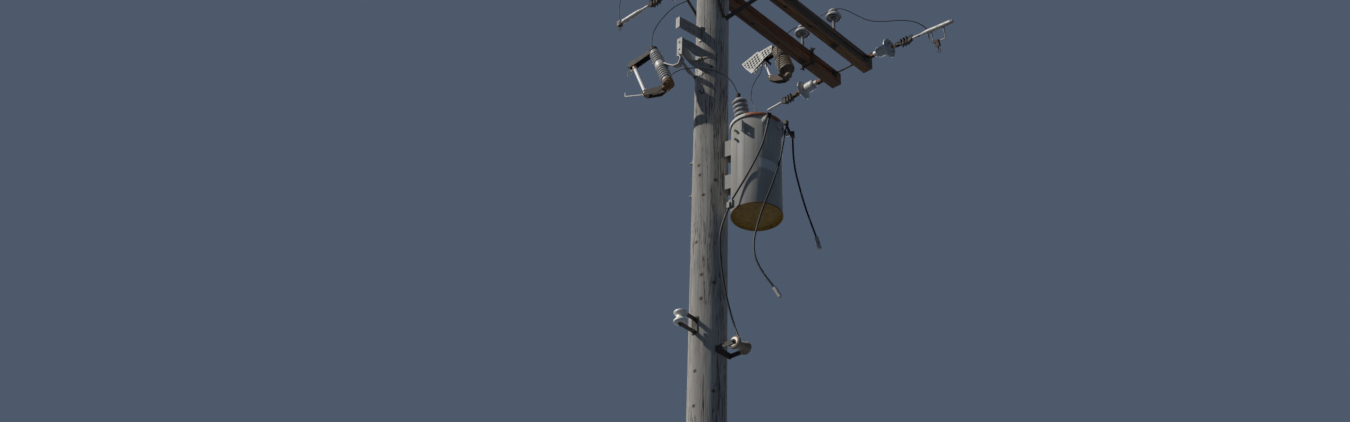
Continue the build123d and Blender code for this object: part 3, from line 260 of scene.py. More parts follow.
def wood_arm(name, side_painted_tones, under_painted_tones, orange_side, orange_under):
    """Creosoted timber with orange runs and weathered grey on top; its underside and its sides take their own
    shades and amounts of orange, which paint light and shade on each face.
    """
    s = Shader(name)
    fine = s.noise(1.0, 7, 0.72, s.mapped((4, 170, 170)), 0.3)
    broad = s.noise(1.0, 4, 0.6, s.mapped((1.3, 15, 15)))
    streak = s.noise(1.0, 4, 0.65, s.mapped((1.1, 55, 55)))
    normal = s.tree.nodes.new("ShaderNodeTexCoord").outputs["Normal"]
    # Painted light and shade: downward faces and side faces get separate colours, set to how each face is lit
    below = s.ramp(s.math("MULTIPLY", s.axis("Z", normal), -1.0), (0.3, 0.0), (0.7, 1.0))
    above = s.ramp(s.axis("Z", normal), (0.3, 0.0), (0.8, 1.0))
    side = s.ramp(fine, (0.3, side_painted_tones[0]), (0.5, side_painted_tones[1]), (0.74, side_painted_tones[2]))
    side = s.mix(s.ramp(streak, (0.54, 0.0), (0.64, orange_side)), side, (0.46, 0.17, 0.05))
    side = s.mix(s.ramp(broad, (0.48, 0.0), (0.7, 0.6)), side, (0.065, 0.042, 0.028))
    under = s.ramp(fine, (0.3, under_painted_tones[0]), (0.5, under_painted_tones[1]), (0.74, under_painted_tones[2]))
    under = s.mix(s.ramp(streak, (0.54, 0.0), (0.64, orange_under)), under, (0.48, 0.21, 0.055))
    under = s.mix(s.ramp(broad, (0.50, 0.0), (0.72, 0.7)), under, (0.070, 0.040, 0.024))
    top = s.ramp(fine, (0.3, (0.12, 0.11, 0.10)), (0.7, (0.34, 0.32, 0.29)))
    colour = s.mix(below, side, under)
    colour = s.mix(above, colour, top)
    cracks = None
    for scale, run, width, offset in ((22, 0.45, 0.014, 0.0), (60, 1.2, 0.02, 5.3)):
        ink = crack_ink(s, crack_line(s, (run, scale, scale), offset), width)
        cracks = ink if cracks is None else s.math("MULTIPLY", cracks, ink)
    colour = s.mix(cracks, (0.012, 0.008, 0.006), colour)
    far_x = s.math("ABSOLUTE", s.axis("X"))
    far_y = s.math("SUBTRACT", s.math("ABSOLUTE", s.axis("Y")), ARM_Y)
    # Painted shade: each spare hole shows on the underside as a near-black disc for the shade in its bore
    for hole_x in SPARE_X:
        off = s.math("SUBTRACT", far_x, hole_x)
        off = s.math("SQRT", s.math("ADD", s.math("MULTIPLY", off, off), s.math("MULTIPLY", far_y, far_y)))
        painted_hole_shade = s.math("MULTIPLY", below, s.ramp(off, (0.015, 1.0), (0.019, 0.0)))
        colour = s.mix(painted_hole_shade, colour, (0.006, 0.005, 0.005))
    return s.finish(colour, rough=0.85, bump=s.math("MULTIPLY", fine, cracks), strength=0.7, depth=0.004,
                    Diffuse_Roughness=1.0)


def metal(name, light, dark, rust, amount, rough=0.55, scale=40, metallic=0.35):
    """Galvanised or cast metal: grey grain, rust in patches and dark runs down it."""
    s = Shader(name)
    grain = s.noise(scale, 6, 0.65)
    spots = s.noise(scale * 0.55, 7, 0.72)
    runs = s.noise(1.0, 4, 0.6, s.mapped((scale * 3, scale * 3, scale * 0.25)))
    colour = s.ramp(grain, (0.34, dark), (0.62, light))
    patch = s.ramp(spots, (0.66 - amount * 0.34, 0.0), (0.74 - amount * 0.26, 1.0))
    colour = s.mix(patch, colour, s.mix(grain, rust, tuple(c * 0.45 for c in rust)))
    colour = s.mix(s.ramp(runs, (0.58, 0.0), (0.75, 0.4)), colour, tuple(c * 0.5 for c in dark))
    return s.finish(colour, rough=s.ramp(patch, (0.0, rough), (1.0, 0.9)), metal=metallic, bump=grain,
                    strength=0.35, depth=0.0012, Diffuse_Roughness=0.6, Specular_IOR_Level=0.3)


def porcelain(name, colour, dirt):
    """Glazed porcelain, glossy, with grime in soft patches and thin runs."""
    s = Shader(name)
    film = s.noise(7, 5, 0.6)
    runs = s.noise(1.0, 4, 0.6, s.mapped((40, 40, 10)))
    mixed = s.mix(s.ramp(film, (0.46, 0.0), (0.72, 0.5)), colour, dirt)
    mixed = s.mix(s.ramp(runs, (0.56, 0.0), (0.80, 0.2)), mixed, dirt)
    return s.finish(mixed, rough=s.ramp(film, (0.3, 0.3), (0.7, 0.5)), bump=film, strength=0.03,
                    Specular_IOR_Level=0.4)


def plain(name, colour, other, rough):
    """Plastic or rubber in two close shades, a little worn."""
    s = Shader(name)
    grain = s.noise(60, 6, 0.6)
    wear = s.noise(12, 4, 0.6)
    tint = s.ramp(grain, (0.3, other), (0.7, colour))
    tint = s.mix(s.ramp(wear, (0.5, 0.0), (0.75, 0.4)), tint, tuple(c * 0.6 for c in other))
    return s.finish(tint, rough=s.ramp(grain, (0.3, rough + 0.1), (0.7, rough)), bump=grain, strength=0.1,
                    Specular_IOR_Level=0.25)


# Cutouts: the porcelain's middle, its lean in degrees, and the tube's distance out, radius and top
Cutout = namedtuple("Cutout", "middle lean tube_out tube_r top")
CUTOUTS = {"left": Cutout((-0.36, 0.176, 9.913), 22.9, 0.198, 0.016, 0.236),
           "right": Cutout((1.29, 0.37296, 11.075), 19.5, 0.154, 0.012, 0.146)}
# Height in a cutout's own frame at which its hinge casting changes shade, level with the left porcelain's end
CASTING_TOP = -0.187


def cutout_frame(s, side):
    """Place in a cutout's own frame, with its porcelain along Z and the tube on the +Y side."""
    cut = CUTOUTS[side]
    return s.node("ShaderNodeMapping", settings={"vector_type": "TEXTURE"}, Vector=s.place,
                  Location=cut.middle, Rotation=(math.radians(-cut.lean), 0, 0))


def near_porcelain(s, side):
    """Height in the cutout's frame, pushed up with distance from the porcelain's end."""
    local = cutout_frame(s, side)
    beyond = s.math("MAXIMUM", s.math("SUBTRACT", s.axis("Y", local), 0.045), 0.0)
    return s.math("ADD", s.axis("Z", local), s.math("MULTIPLY", beyond, 20.0))


def two_tone(name, above, below, measure, level):
    """Cast or forged metal, one shade above a level and another below it, with rust in patches."""
    s = Shader(name)
    grain = s.noise(45, 6, 0.7)
    spots = s.noise(24, 6, 0.72)
    colour = s.mix(s.math("LESS_THAN", measure(s), level), above, below)
    colour = s.mix(s.ramp(grain, (0.35, 0.65), (0.6, 0.0)), colour, (0.030, 0.022, 0.016))
    colour = s.mix(s.ramp(spots, (0.56, 0.0), (0.68, 0.6)), colour, (0.17, 0.085, 0.04))
    return s.finish(colour, rough=0.75, bump=grain, strength=0.4, depth=0.0012, Diffuse_Roughness=0.6,
                    Specular_IOR_Level=0.2)


def fuse_tube(name, side):
    """Pale fibre tube with a copper-brown ferrule, a dark bronze casting and ring, and a grey lever."""
    cut = CUTOUTS[side]
    s = Shader(name)
    local = cutout_frame(s, side)
    out = s.axis("Y", local)
    up = s.axis("Z", local)
    grain = s.noise(60, 5, 0.6)
    streak = s.noise(1.0, 4, 0.6, s.mapped((220, 220, 20), local))
    colour = s.ramp(streak, (0.3, (0.36, 0.37, 0.40)), (0.7, (0.50, 0.51, 0.54)))
    copper = s.ramp(grain, (0.3, (0.17, 0.09, 0.06)), (0.7, (0.32, 0.20, 0.15)))
    cast = s.ramp(grain, (0.3, (0.05, 0.038, 0.026)), (0.7, (0.15, 0.11, 0.075)))
    lever = s.ramp(grain, (0.3, (0.22, 0.22, 0.21)), (0.7, (0.38, 0.38, 0.37)))
    colour = s.mix(s.math("GREATER_THAN", up, cut.top - 0.046), colour, copper)
    colour = s.mix(s.math("LESS_THAN", up, -0.075), colour, cast)
    beyond = s.math("GREATER_THAN", out, cut.tube_out + cut.tube_r + 0.007)
    colour = s.mix(beyond, colour, lever)
    colour = s.mix(s.math("MULTIPLY", beyond, s.math("GREATER_THAN", up, cut.top - 0.07)), colour, cast)
    return s.finish(colour, rough=s.ramp(grain, (0.3, 0.6), (0.7, 0.42)), bump=grain, strength=0.15)


def string_parts():
    """Strain string: a rusty clevis at the arm, a white neck and disc, and a dark cap at the line's end."""
    s = Shader("string_parts")
    grain = s.noise(45, 6, 0.7)
    film = s.noise(14, 5, 0.65)
    along = s.math("SUBTRACT", s.math("ABSOLUTE", s.axis("Y")), ARM_OUT)
    glaze = s.mix(s.ramp(film, (0.48, 0.0), (0.74, 0.5)), (0.46, 0.455, 0.43), (0.22, 0.18, 0.13))
    rust = s.ramp(grain, (0.34, (0.030, 0.016, 0.010)), (0.52, (0.12, 0.055, 0.026)),
                  (0.70, (0.20, 0.12, 0.07)))
    metal_end = s.math("MAXIMUM", s.math("LESS_THAN", along, STRING_GLAZE[0]),
                       s.math("GREATER_THAN", along, STRING_GLAZE[1]))
    colour = s.mix(metal_end, glaze, rust)
    return s.finish(colour, rough=s.ramp(metal_end, (0.0, 0.34), (1.0, 0.8)), bump=grain, strength=0.06,
                    Specular_IOR_Level=0.35)


def ribbed(name, side, light, dark, core, rim, bell=0.0):
    """Glazed ribs round a cutout's porcelain: light on their edges, darkening down into the gaps as painted
    shade, with grime in patches.

    bell is how much wider the ribs are below the band.
    """
    s = Shader(name)
    local = cutout_frame(s, side)
    flat = s.mapped((1, 1, 0), local)
    out = s.node("ShaderNodeVectorMath", output=1, settings={"operation": "LENGTH"}, Vector=flat)
    wider = s.math("MULTIPLY", s.math("LESS_THAN", s.axis("Z", local), -0.032), bell)
    out = s.math("SUBTRACT", out, wider)
    film = s.noise(16, 5, 0.65)
    # Painted shade: the colour runs from dark at the core to light at the rims, shading the gaps between ribs
    depth = s.node("ShaderNodeMapRange", Value=s.math("ADD", out, s.math("MULTIPLY", film, 0.002)),
                   From_Min=core, From_Max=rim)
    colour = s.mix(depth, dark, light)
    colour = s.mix(s.ramp(film, (0.50, 0.0), (0.78, 0.4)), colour, dark)
    return s.finish(colour, rough=s.ramp(film, (0.3, 0.36), (0.7, 0.55)), bump=film, strength=0.03,
                    Specular_IOR_Level=0.35)


def around_can(s):
    """Distance from the can's axis, and direction in radians from the side away from the pole."""
    place = s.node("ShaderNodeMapping", Vector=s.place, Location=(-CAN[0], -CAN[1], 0))
    x = s.axis("X", place)
    y = s.axis("Y", place)
    out = s.math("SQRT", s.math("ADD", s.math("MULTIPLY", x, x), s.math("MULTIPLY", y, y)))
    turned = s.node("ShaderNodeMapping", Vector=place, Rotation=(0, 0, math.radians(-CAN_AZ)))
    az = s.math("ARCTAN2", s.axis("Y", turned), s.axis("X", turned))
    return out, az


def between(s, value, low, high, soft):
    """1 from low to high and 0 beyond, with soft edges."""
    rise = s.node("ShaderNodeMapRange", Value=value, From_Min=low - soft, From_Max=low + soft)
    fall = s.node("ShaderNodeMapRange", Value=value, From_Min=high + soft, From_Max=high - soft)
    return s.math("MULTIPLY", rise, fall, True)


def tank_paint():
    """Old light grey paint with runs, a paler bare strip, chips at the bottom and a rusted underside."""
    s = Shader("tank_paint")
    cloud = s.noise(5, 5, 0.6)
    fine = s.noise(90, 4, 0.6)
    runs = s.noise(1.0, 5, 0.62, s.mapped((38, 38, 1.6)))
    out, az = around_can(s)
    z = s.axis("Z")
    colour = s.ramp(cloud, (0.35, (0.33, 0.32, 0.29)), (0.65, (0.39, 0.38, 0.35)))
    colour = s.mix(s.ramp(runs, (0.52, 0.0), (0.78, 0.5)), colour, (0.27, 0.25, 0.215))
    colour = s.mix(s.ramp(fine, (0.66, 0.0), (0.72, 0.45)), colour, (0.22, 0.18, 0.14))
    edge = s.math("ADD", s.axis("Z"), s.math("MULTIPLY", s.math("SUBTRACT", az, 0.43), 0.028))
    strip = s.math("MULTIPLY", between(s, az, *STRIP_AZ, 0.02), between(s, edge, *STRIP_Z, 0.0015))
    colour = s.mix(s.math("MULTIPLY", strip, 0.75), colour, (0.60, 0.60, 0.58))
    chew = s.math("MULTIPLY", s.math("SUBTRACT", s.noise(26, 5, 0.65), 0.5), 0.04)
    low = s.node("ShaderNodeMapRange", Value=s.math("ADD", z, chew), From_Min=8.612, From_Max=8.599)
    rust = s.ramp(s.noise(30, 6, 0.7), (0.3, (0.20, 0.10, 0.014)), (0.5, (0.48, 0.255, 0.035)),
                  (0.7, (0.60, 0.35, 0.06)))
    colour = s.mix(low, colour, rust)
    inside = s.math("LESS_THAN", out, CAN_INNER_R)
    under = s.math("MULTIPLY", inside, s.math("LESS_THAN", z, CAN_FLOOR_Z))
    colour = s.mix(under, colour, rust)
    return s.finish(colour, rough=s.ramp(low, (0.0, 0.62), (1.0, 0.9)), bump=s.math("ADD", cloud, fine),
                    strength=0.1, Diffuse_Roughness=1.0, Specular_IOR_Level=0.3)


def rusty_rim():
    """Bare rusted edge, dark brown with lighter scale."""
    s = Shader("rusty_rim")
    scale = s.noise(90, 6, 0.7)
    colour = s.ramp(scale, (0.3, (0.03, 0.018, 0.012)), (0.55, (0.09, 0.045, 0.022)),
                    (0.75, (0.20, 0.11, 0.05)))
    return s.finish(colour, rough=0.9, bump=scale, strength=0.4, depth=0.001)


def rusty_paint():
    """The cover's paint, white grey towards the pole's left, gone to red rust over the middle."""
    s = Shader("rusty_paint")
    az = around_can(s)[1]
    eaten = s.noise(16, 6, 0.7)
    fine = s.noise(70, 6, 0.7)
    rust = s.ramp(fine, (0.3, (0.12, 0.035, 0.016)), (0.5, (0.27, 0.085, 0.035)), (0.7, (0.40, 0.16, 0.07)))
    paint = s.ramp(fine, (0.3, (0.34, 0.34, 0.32)), (0.7, (0.48, 0.48, 0.46)))
    turn = s.node("ShaderNodeMapRange", Value=az, From_Min=-1.9, From_Max=-1.1)
    kept = s.ramp(s.math("ADD", eaten, s.math("MULTIPLY", turn, -0.28)), (0.30, 0.0), (0.40, 1.0))
    colour = s.mix(kept, rust, paint)
    return s.finish(colour, rough=0.8, bump=s.math("ADD", fine, eaten), strength=0.3, depth=0.0015)


MATERIALS = {
    "pole_wood": wood_pole(),
    # Front arm: dark painted shade on its sides and a lighter orange painted light on its underside
    "arm_wood": wood_arm("arm_wood", ((0.030, 0.022, 0.018), (0.080, 0.058, 0.044), (0.17, 0.14, 0.11)),
                         ((0.085, 0.036, 0.014), (0.21, 0.095, 0.034), (0.34, 0.18, 0.07)), 0.2, 0.85),
    "steel": metal("steel", (0.30, 0.295, 0.28), (0.17, 0.165, 0.155), (0.15, 0.075, 0.04), 0.22, 0.62,
                   metallic=0.15),
    "dark_steel": metal("dark_steel", (0.045, 0.040, 0.037), (0.018, 0.016, 0.014), (0.075, 0.032, 0.015),
                        0.42, 0.7, metallic=0.1),
    "grey_porcelain": porcelain("grey_porcelain", (0.37, 0.375, 0.37), (0.15, 0.13, 0.105)),
    "white_porcelain": porcelain("white_porcelain", (0.58, 0.57, 0.53), (0.24, 0.20, 0.15)),
    "brown_porcelain": porcelain("brown_porcelain", (0.20, 0.155, 0.105), (0.085, 0.06, 0.038)),
    "aluminium": metal("aluminium", (0.40, 0.395, 0.385), (0.21, 0.205, 0.195), (0.15, 0.11, 0.075),
                       0.2, 0.55, 50, 0.3),
    "bronze": metal("bronze", (0.115, 0.085, 0.055), (0.045, 0.033, 0.022), (0.13, 0.075, 0.04), 0.3, 0.6,
                    metallic=0.15),
    "fuse_tube": fuse_tube("fuse_tube", "left"),
    "hood_plastic": plain("hood_plastic", (0.48, 0.48, 0.46), (0.33, 0.32, 0.29), 0.6),
    "tank_paint": tank_paint(),
    "rusty_paint": rusty_paint(),
    "wire_cover": plain("wire_cover", (0.045, 0.045, 0.055), (0.020, 0.020, 0.026), 0.5),
    "lead_cover": plain("lead_cover", (0.022, 0.022, 0.026), (0.010, 0.010, 0.012), 0.42),
}

# The pins are dark below this height, just under the arms' tops
PIN_SHADE_Z = 11.05

# Nodes that look different from the rest of their slot
OWN = {
    "cutout_right_fuse_holder": fuse_tube("fuse_tube_right", "right"),
    # Back arm: the same wood with its painted light turned round, light orange sides and a darker underside
    "crossarm_back": wood_arm("arm_wood_back_painted_light",
                              ((0.080, 0.024, 0.010), (0.23, 0.070, 0.026), (0.40, 0.15, 0.06)),
                              ((0.036, 0.016, 0.008), (0.110, 0.050, 0.022), (0.20, 0.10, 0.045)), 0.85, 0.3),
    "dead_end_insulators": string_parts(),
    "connector_left": metal("connector_grey", (0.20, 0.20, 0.195), (0.10, 0.10, 0.098), (0.07, 0.05, 0.04),
                            0.2, 0.6, metallic=0.1),
    "insulator_pins": two_tone("pin_steel", (0.34, 0.33, 0.31), (0.075, 0.060, 0.050),
                               lambda s: s.axis("Z"), PIN_SHADE_Z),
    "cutout_left_hinge": two_tone("left_casting", (0.034, 0.025, 0.018), (0.24, 0.125, 0.05),
                                  lambda s: near_porcelain(s, "left"), CASTING_TOP),
    "cutout_right_hinge": two_tone("right_casting", (0.12, 0.09, 0.06), (0.26, 0.21, 0.13),
                                   lambda s: near_porcelain(s, "right"), CASTING_TOP),
}
for part in frame["record"]["subparts"]:
    target = NODES[part["node"]]
    target.data.materials.clear()
    target.data.materials.append(OWN.get(part["node"]) or MATERIALS[part["material_slot"]])


def smooth_curve(name, points, resolution):
    """Smooth open curve with the given control points."""
    data = bpy.data.curves.new(name, "CURVE")
    data.dimensions = "3D"
    data.resolution_u = resolution
    spline = data.splines.new("NURBS")
    spline.points.add(len(points) - 1)
    for point, spot in zip(spline.points, points):
        point.co = (*spot, 1)
    spline.order_u = 3
    spline.use_endpoint_u = True
    spline.resolution_u = resolution
    return data


# Wires and leads: the same points as the solids' routes, in metres
def wire(name, r, points, material):
    """Cord that stands for the node of its name, which it hides."""
    data = smooth_curve(name, points, 10)
    data.bevel_depth = r
    data.bevel_resolution = 5
    data.use_fill_caps = True
    run = bpy.data.objects.new(name + "_run", data)
    bpy.context.scene.collection.objects.link(run)
    data.materials.append(MATERIALS[material])
    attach(run, ROOT)
    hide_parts(name)


BARE_R = 0.004
LEAD_R = 0.007
LINE_LEFT = [(-0.36, 0.277, 10.1525), (-0.351, 0.291, 10.26), (-0.32, 0.273, 10.367),
             (-0.27, 0.26, 10.466), (-0.212, 0.252, 10.562), (-0.146, 0.249, 10.652),
             (-0.068, 0.248, 10.732), (0.01, 0.246, 10.812), (0.064, 0.244, 10.91), (0.086, 0.239, 11.019),
             (0.088, 0.223, 11.13), (0.085, 0.2, 11.239), (0.077, 0.166, 11.345), (0.062, 0.123, 11.448),
             (0.04, 0.085, 11.545), (0.012, 0.06, 11.635)]
LOAD_LEFT = [(-0.4, 0.103, 9.703), (-0.402, 0.055, 9.736), (-0.39, 0.005, 9.764), (-0.368, -0.048, 9.776),
             (-0.338, -0.098, 9.777), (-0.3, -0.142, 9.777), (-0.262, -0.18, 9.771),
             (-0.212, -0.229, 9.758), (-0.159, -0.281, 9.717), (-0.124, -0.321, 9.649),
             (-0.106, -0.339, 9.5665)]
LOAD_RIGHT = [(1.263, 0.534, 11.151), (1.262, 0.54, 11.12), (1.256, 0.545, 11.085), (1.249, 0.549, 11.046),
              (1.238, 0.549, 11), (1.216, 0.54, 10.952), (1.18, 0.526, 10.9), (1.14, 0.514, 10.848),
              (1.095, 0.502, 10.77), (1.05, 0.491, 10.69), (1, 0.456, 10.595), (0.95, 0.419, 10.5),
              (0.905, 0.374, 10.412), (0.85, 0.318, 10.335), (0.79, 0.262, 10.262), (0.732, 0.207, 10.19),
              (0.675, 0.151, 10.118), (0.62, 0.097, 10.045), (0.565, 0.045, 9.973), (0.51, -0.009, 9.899),
              (0.455, -0.06, 9.829), (0.4, -0.112, 9.757), (0.344, -0.165, 9.692), (0.283, -0.221, 9.628),
              (0.226, -0.274, 9.5665)]
JUMPER_RIGHT = [(1.688, -0.858, 10.846), (1.68, -0.828, 10.862), (1.684, -0.808, 10.9),
                (1.694, -0.803, 10.945), (1.69, -0.803, 10.985), (1.67, -0.795, 11.018),
                (1.64, -0.772, 11.044), (1.605, -0.74, 11.068), (1.56, -0.665, 11.098),
                (1.515, -0.575, 11.108), (1.48, -0.485, 11.125), (1.44, -0.4, 11.155),
                (1.39, -0.32, 11.225), (1.34, -0.24, 11.3), (1.3, -0.161, 11.318), (1.3, -0.055, 11.312),
                (1.301, 0.053, 11.312), (1.3, 0.161, 11.318), (1.285, 0.215, 11.31), (1.262, 0.262, 11.28),
                (1.238, 0.3, 11.238), (1.222, 0.326, 11.19), (1.213, 0.35, 11.14), (1.211, 0.356, 11.085),
                (1.212, 0.352, 11.03), (1.214, 0.349, 10.975), (1.219, 0.348, 10.92),
                (1.234, 0.354, 10.8653)]
JUMPER_MIDDLE = [(0, 0.978, 10.969), (0.001, 1, 11.06), (0.003, 1, 11.17), (0.004, 0.97, 11.28),
                 (0.004, 0.915, 11.38), (0.003, 0.838, 11.46), (0.002, 0.745, 11.525),
                 (0.001, 0.64, 11.57), (0, 0.53, 11.603), (0, 0.425, 11.626), (0, 0.31, 11.64),
                 (0, 0.195, 11.649), (0, 0.08, 11.654), (0, -0.035, 11.655), (0, -0.145, 11.652),
                 (0, -0.255, 11.644), (0, -0.37, 11.63), (0, -0.475, 11.605), (0.001, -0.575, 11.571),
                 (0.002, -0.675, 11.525), (0.003, -0.768, 11.466), (0.003, -0.853, 11.393),
                 (0.003, -0.921, 11.3), (0.003, -0.964, 11.195), (0.002, -0.982, 11.085),
                 (0, -0.978, 10.969)]
LEAD_LEFT = [(-0.058, -0.585, 9.267), (-0.066, -0.557, 9.098), (-0.093, -0.49, 8.93),
             (-0.118, -0.412, 8.785), (-0.15, -0.328, 8.64)]
LEAD_MIDDLE = [(0.086, -0.621, 9.267), (0.064, -0.611, 9.09), (0.03, -0.6, 8.905), (-0.015, -0.575, 8.732),
               (-0.062, -0.542, 8.562), (-0.098, -0.512, 8.391), (-0.122, -0.49, 8.217),
               (-0.098, -0.519, 8.052), (-0.03, -0.6, 7.9)]
LEAD_RIGHT = [(0.222, -0.572, 9.267), (0.226, -0.569, 9.125), (0.238, -0.576, 8.983),
              (0.259, -0.596, 8.843), (0.28, -0.619, 8.704), (0.304, -0.648, 8.567), (0.33, -0.68, 8.43)]
LEAD_TAIL = [(-0.165, -0.315, 8.57), (-0.185, -0.262, 8.44), (-0.16, -0.232, 8.299),
             (-0.115, -0.216, 8.138), (-0.065, -0.212, 7.978), (-0.02, -0.218, 7.84),
             (0.01, -0.238, 7.722), (0.003, -0.284, 7.619)]

wire("line_wire_left", BARE_R, LINE_LEFT, "wire_cover")
wire("load_wire_left", BARE_R, LOAD_LEFT, "wire_cover")
wire("load_wire_right", BARE_R, LOAD_RIGHT, "wire_cover")
wire("jumper_middle", BARE_R, JUMPER_MIDDLE, "wire_cover")
wire("jumper_right", BARE_R, JUMPER_RIGHT, "wire_cover")
wire("lead_left", LEAD_R, LEAD_LEFT, "lead_cover")
wire("lead_middle", LEAD_R, LEAD_MIDDLE, "lead_cover")
wire("lead_right", LEAD_R, LEAD_RIGHT, "lead_cover")
wire("lead_tail", LEAD_R, LEAD_TAIL, "lead_cover")


# Rounded edges on the rigid nodes
def soften(name, width):
    node = NODES[name]
    weld = node.modifiers.new("weld", "WELD")
    weld.merge_threshold = 0.00002
    bevel = node.modifiers.new("bevel", "BEVEL")
    bevel.width = width
    bevel.segments = 2
    bevel.limit_method = "ANGLE"
    bevel.angle_limit = math.radians(28)
    bevel.harden_normals = True


for name, width in (("crossarm_back", 0.004), ("crossarm_front", 0.004), ("secondary_spool", 0.004),
                    ("rack_spool", 0.004), ("strain_clamps", 0.0012), ("wing_bracket", 0.0008),
                    ("cutout_left_hanger", 0.001), ("cutout_right_hanger", 0.001),
                    ("cutout_left_upper_contact", 0.001), ("cutout_right_upper_contact", 0.001),
                    ("cutout_left_hinge", 0.001), ("cutout_right_hinge", 0.001), ("cutout_right_hood", 0.001),
                    ("tank", 0.0015), ("cover_band", 0.003), ("tank_cover", 0.002), ("arm_bolts", 0.001),
                    ("lv_terminals", 0.002), ("hv_terminals", 0.002), ("hot_line_clamps", 0.002),
                    ("tap_connector", 0.003), ("connector_left", 0.003)):
    soften(name, width)


# Pieces in mesh code
def add_piece(name, mesh, material, nodes=(), place=None, smooth=True):
    """Mesh as a fixed piece, moved to its place, that replaces the given nodes."""
    mesh.materials.append(material)
    for face in mesh.polygons:
        face.use_smooth = smooth
    made = bpy.data.objects.new(name, mesh)
    bpy.context.scene.collection.objects.link(made)
    if place is not None:
        mesh.transform(place)
    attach(made, ROOT)
    if nodes:
        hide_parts(*nodes)


def turned_mesh(name, outline, steps=72):
    """Surface of revolution round Z of an outline of (radius, height), from axis to axis."""
    mesh = bpy.data.meshes.new(name)
    verts = []
    faces = []
    rows = len(outline)
    for i in range(steps):
        a = 2 * math.pi * i / steps
        verts += [(r * math.cos(a), r * math.sin(a), z) for r, z in outline]
    for i in range(steps):
        j = (i + 1) % steps
        faces += [(i * rows + k, j * rows + k, j * rows + k + 1, i * rows + k + 1) for k in range(rows - 1)]
    mesh.from_pydata(verts, [], faces)
    mesh.update()
    return mesh


def rounded_ribs(core, rim, low, pitch, thick, count):
    """Outline of ribs with round edges and narrow gaps between them."""
    points = []
    for i in range(count):
        z = low + i * pitch
        half = thick / 2
        points += [(core, z - 0.0012), (core + 0.0012, z), (rim - half * 0.7, z + 0.0004)]
        points += [(rim + half * (math.cos(a) - 1) * 0.7, z + half + half * math.sin(a))
                   for a in (-1.1, -0.55, 0.0, 0.55, 1.1)]
        points += [(rim - half * 0.7, z + thick - 0.0004), (core + 0.0012, z + thick)]
        points += [(core, z + thick + 0.0012)]
    return points


def cutout_place(side):
    cut = CUTOUTS[side]
    return Matrix.Translation(cut.middle) @ Matrix.Rotation(math.radians(-cut.lean), 4, "X")


left_outline = [(0.0, CASTING_TOP), (0.034, CASTING_TOP), (0.0375, -0.184), (0.0375, -0.158)]
left_outline += rounded_ribs(0.033, 0.0448, -0.1545, 0.023, 0.0115, 5)
left_outline += [(0.0392, -0.046), (0.0398, -0.044), (0.0398, 0.034), (0.0392, 0.037)]
left_outline += rounded_ribs(0.033, 0.0448, 0.0435, 0.023, 0.0115, 5)
left_outline += [(0.0375, 0.157), (0.0375, 0.172), (0.034, 0.1785), (0.0, 0.1785)]
# The second colour is the painted shade in the ribs' gaps, and also the grime
left_glaze = ribbed("ribbed_grey", "left", (0.38, 0.38, 0.375), (0.030, 0.019, 0.013), 0.0365, 0.0400)
add_piece("left_ribbed_porcelain", turned_mesh("left_ribbed_porcelain", left_outline), left_glaze,
          ["cutout_left_insulator"], cutout_place("left"))

right_outline = [(0.0, -0.2105), (0.0105, -0.2105), (0.0105, -0.176), (0.024, -0.174), (0.0265, -0.177),
                 (0.033, -0.177), (0.036, -0.166), (0.042, -0.166), (0.045, -0.173), (0.051, -0.173),
                 (0.054, -0.160), (0.059, -0.160), (0.0615, -0.167), (0.0635, -0.165)]
right_outline += rounded_ribs(0.054, 0.0668, -0.163, 0.022, 0.011, 6)
right_outline += [(0.0505, -0.033), (0.0508, -0.029), (0.0508, 0.012), (0.050, 0.0135)]
right_outline += rounded_ribs(0.043, 0.0568, 0.0155, 0.022, 0.011, 4)
right_outline += [(0.044, 0.099), (0.040, 0.1035), (0.033, 0.1055), (0.0, 0.1055)]
right_glaze = ribbed("ribbed_brown", "right", (0.31, 0.27, 0.20), (0.035, 0.023, 0.014), 0.044, 0.0545,
                     0.0105)
add_piece("right_ribbed_porcelain", turned_mesh("right_ribbed_porcelain", right_outline), right_glaze,
          ["cutout_right_insulator"], cutout_place("right"))


def block_mesh(name, boxes, width):
    """Boxes of (low corner, high corner) in one mesh, with edges worn to a width."""
    build = bmesh.new()
    for low, high in boxes:
        made = bmesh.ops.create_cube(build, size=1.0)
        for vert in made["verts"]:
            vert.co = Vector([(a + b) / 2 + (b - a) * c for a, b, c in zip(low, high, vert.co)])
    bmesh.ops.bevel(build, geom=list(build.edges), offset=width, segments=2, affect="EDGES",
                    clamp_overlap=True)
    mesh = bpy.data.meshes.new(name)
    build.to_mesh(mesh)
    build.free()
    return mesh


# Angle between the plate on the crossarm and the right cutout's arm: its two legs, its web and its two nuts
angle = block_mesh("hanger_angle", [((1.274, 0.2131, 11.030), (1.306, 0.2191, 11.0818)),
                                    ((1.274, 0.2131, 11.0758), (1.306, 0.266, 11.0819)),
                                    ((1.287, 0.2185, 11.040), (1.293, 0.240, 11.077)),
                                    ((1.282, 0.219, 11.044), (1.298, 0.226, 11.060)),
                                    ((1.282, 0.243, 11.069), (1.298, 0.259, 11.0765))], 0.001)
add_piece("hanger_angle", angle, MATERIALS["dark_steel"], smooth=False)


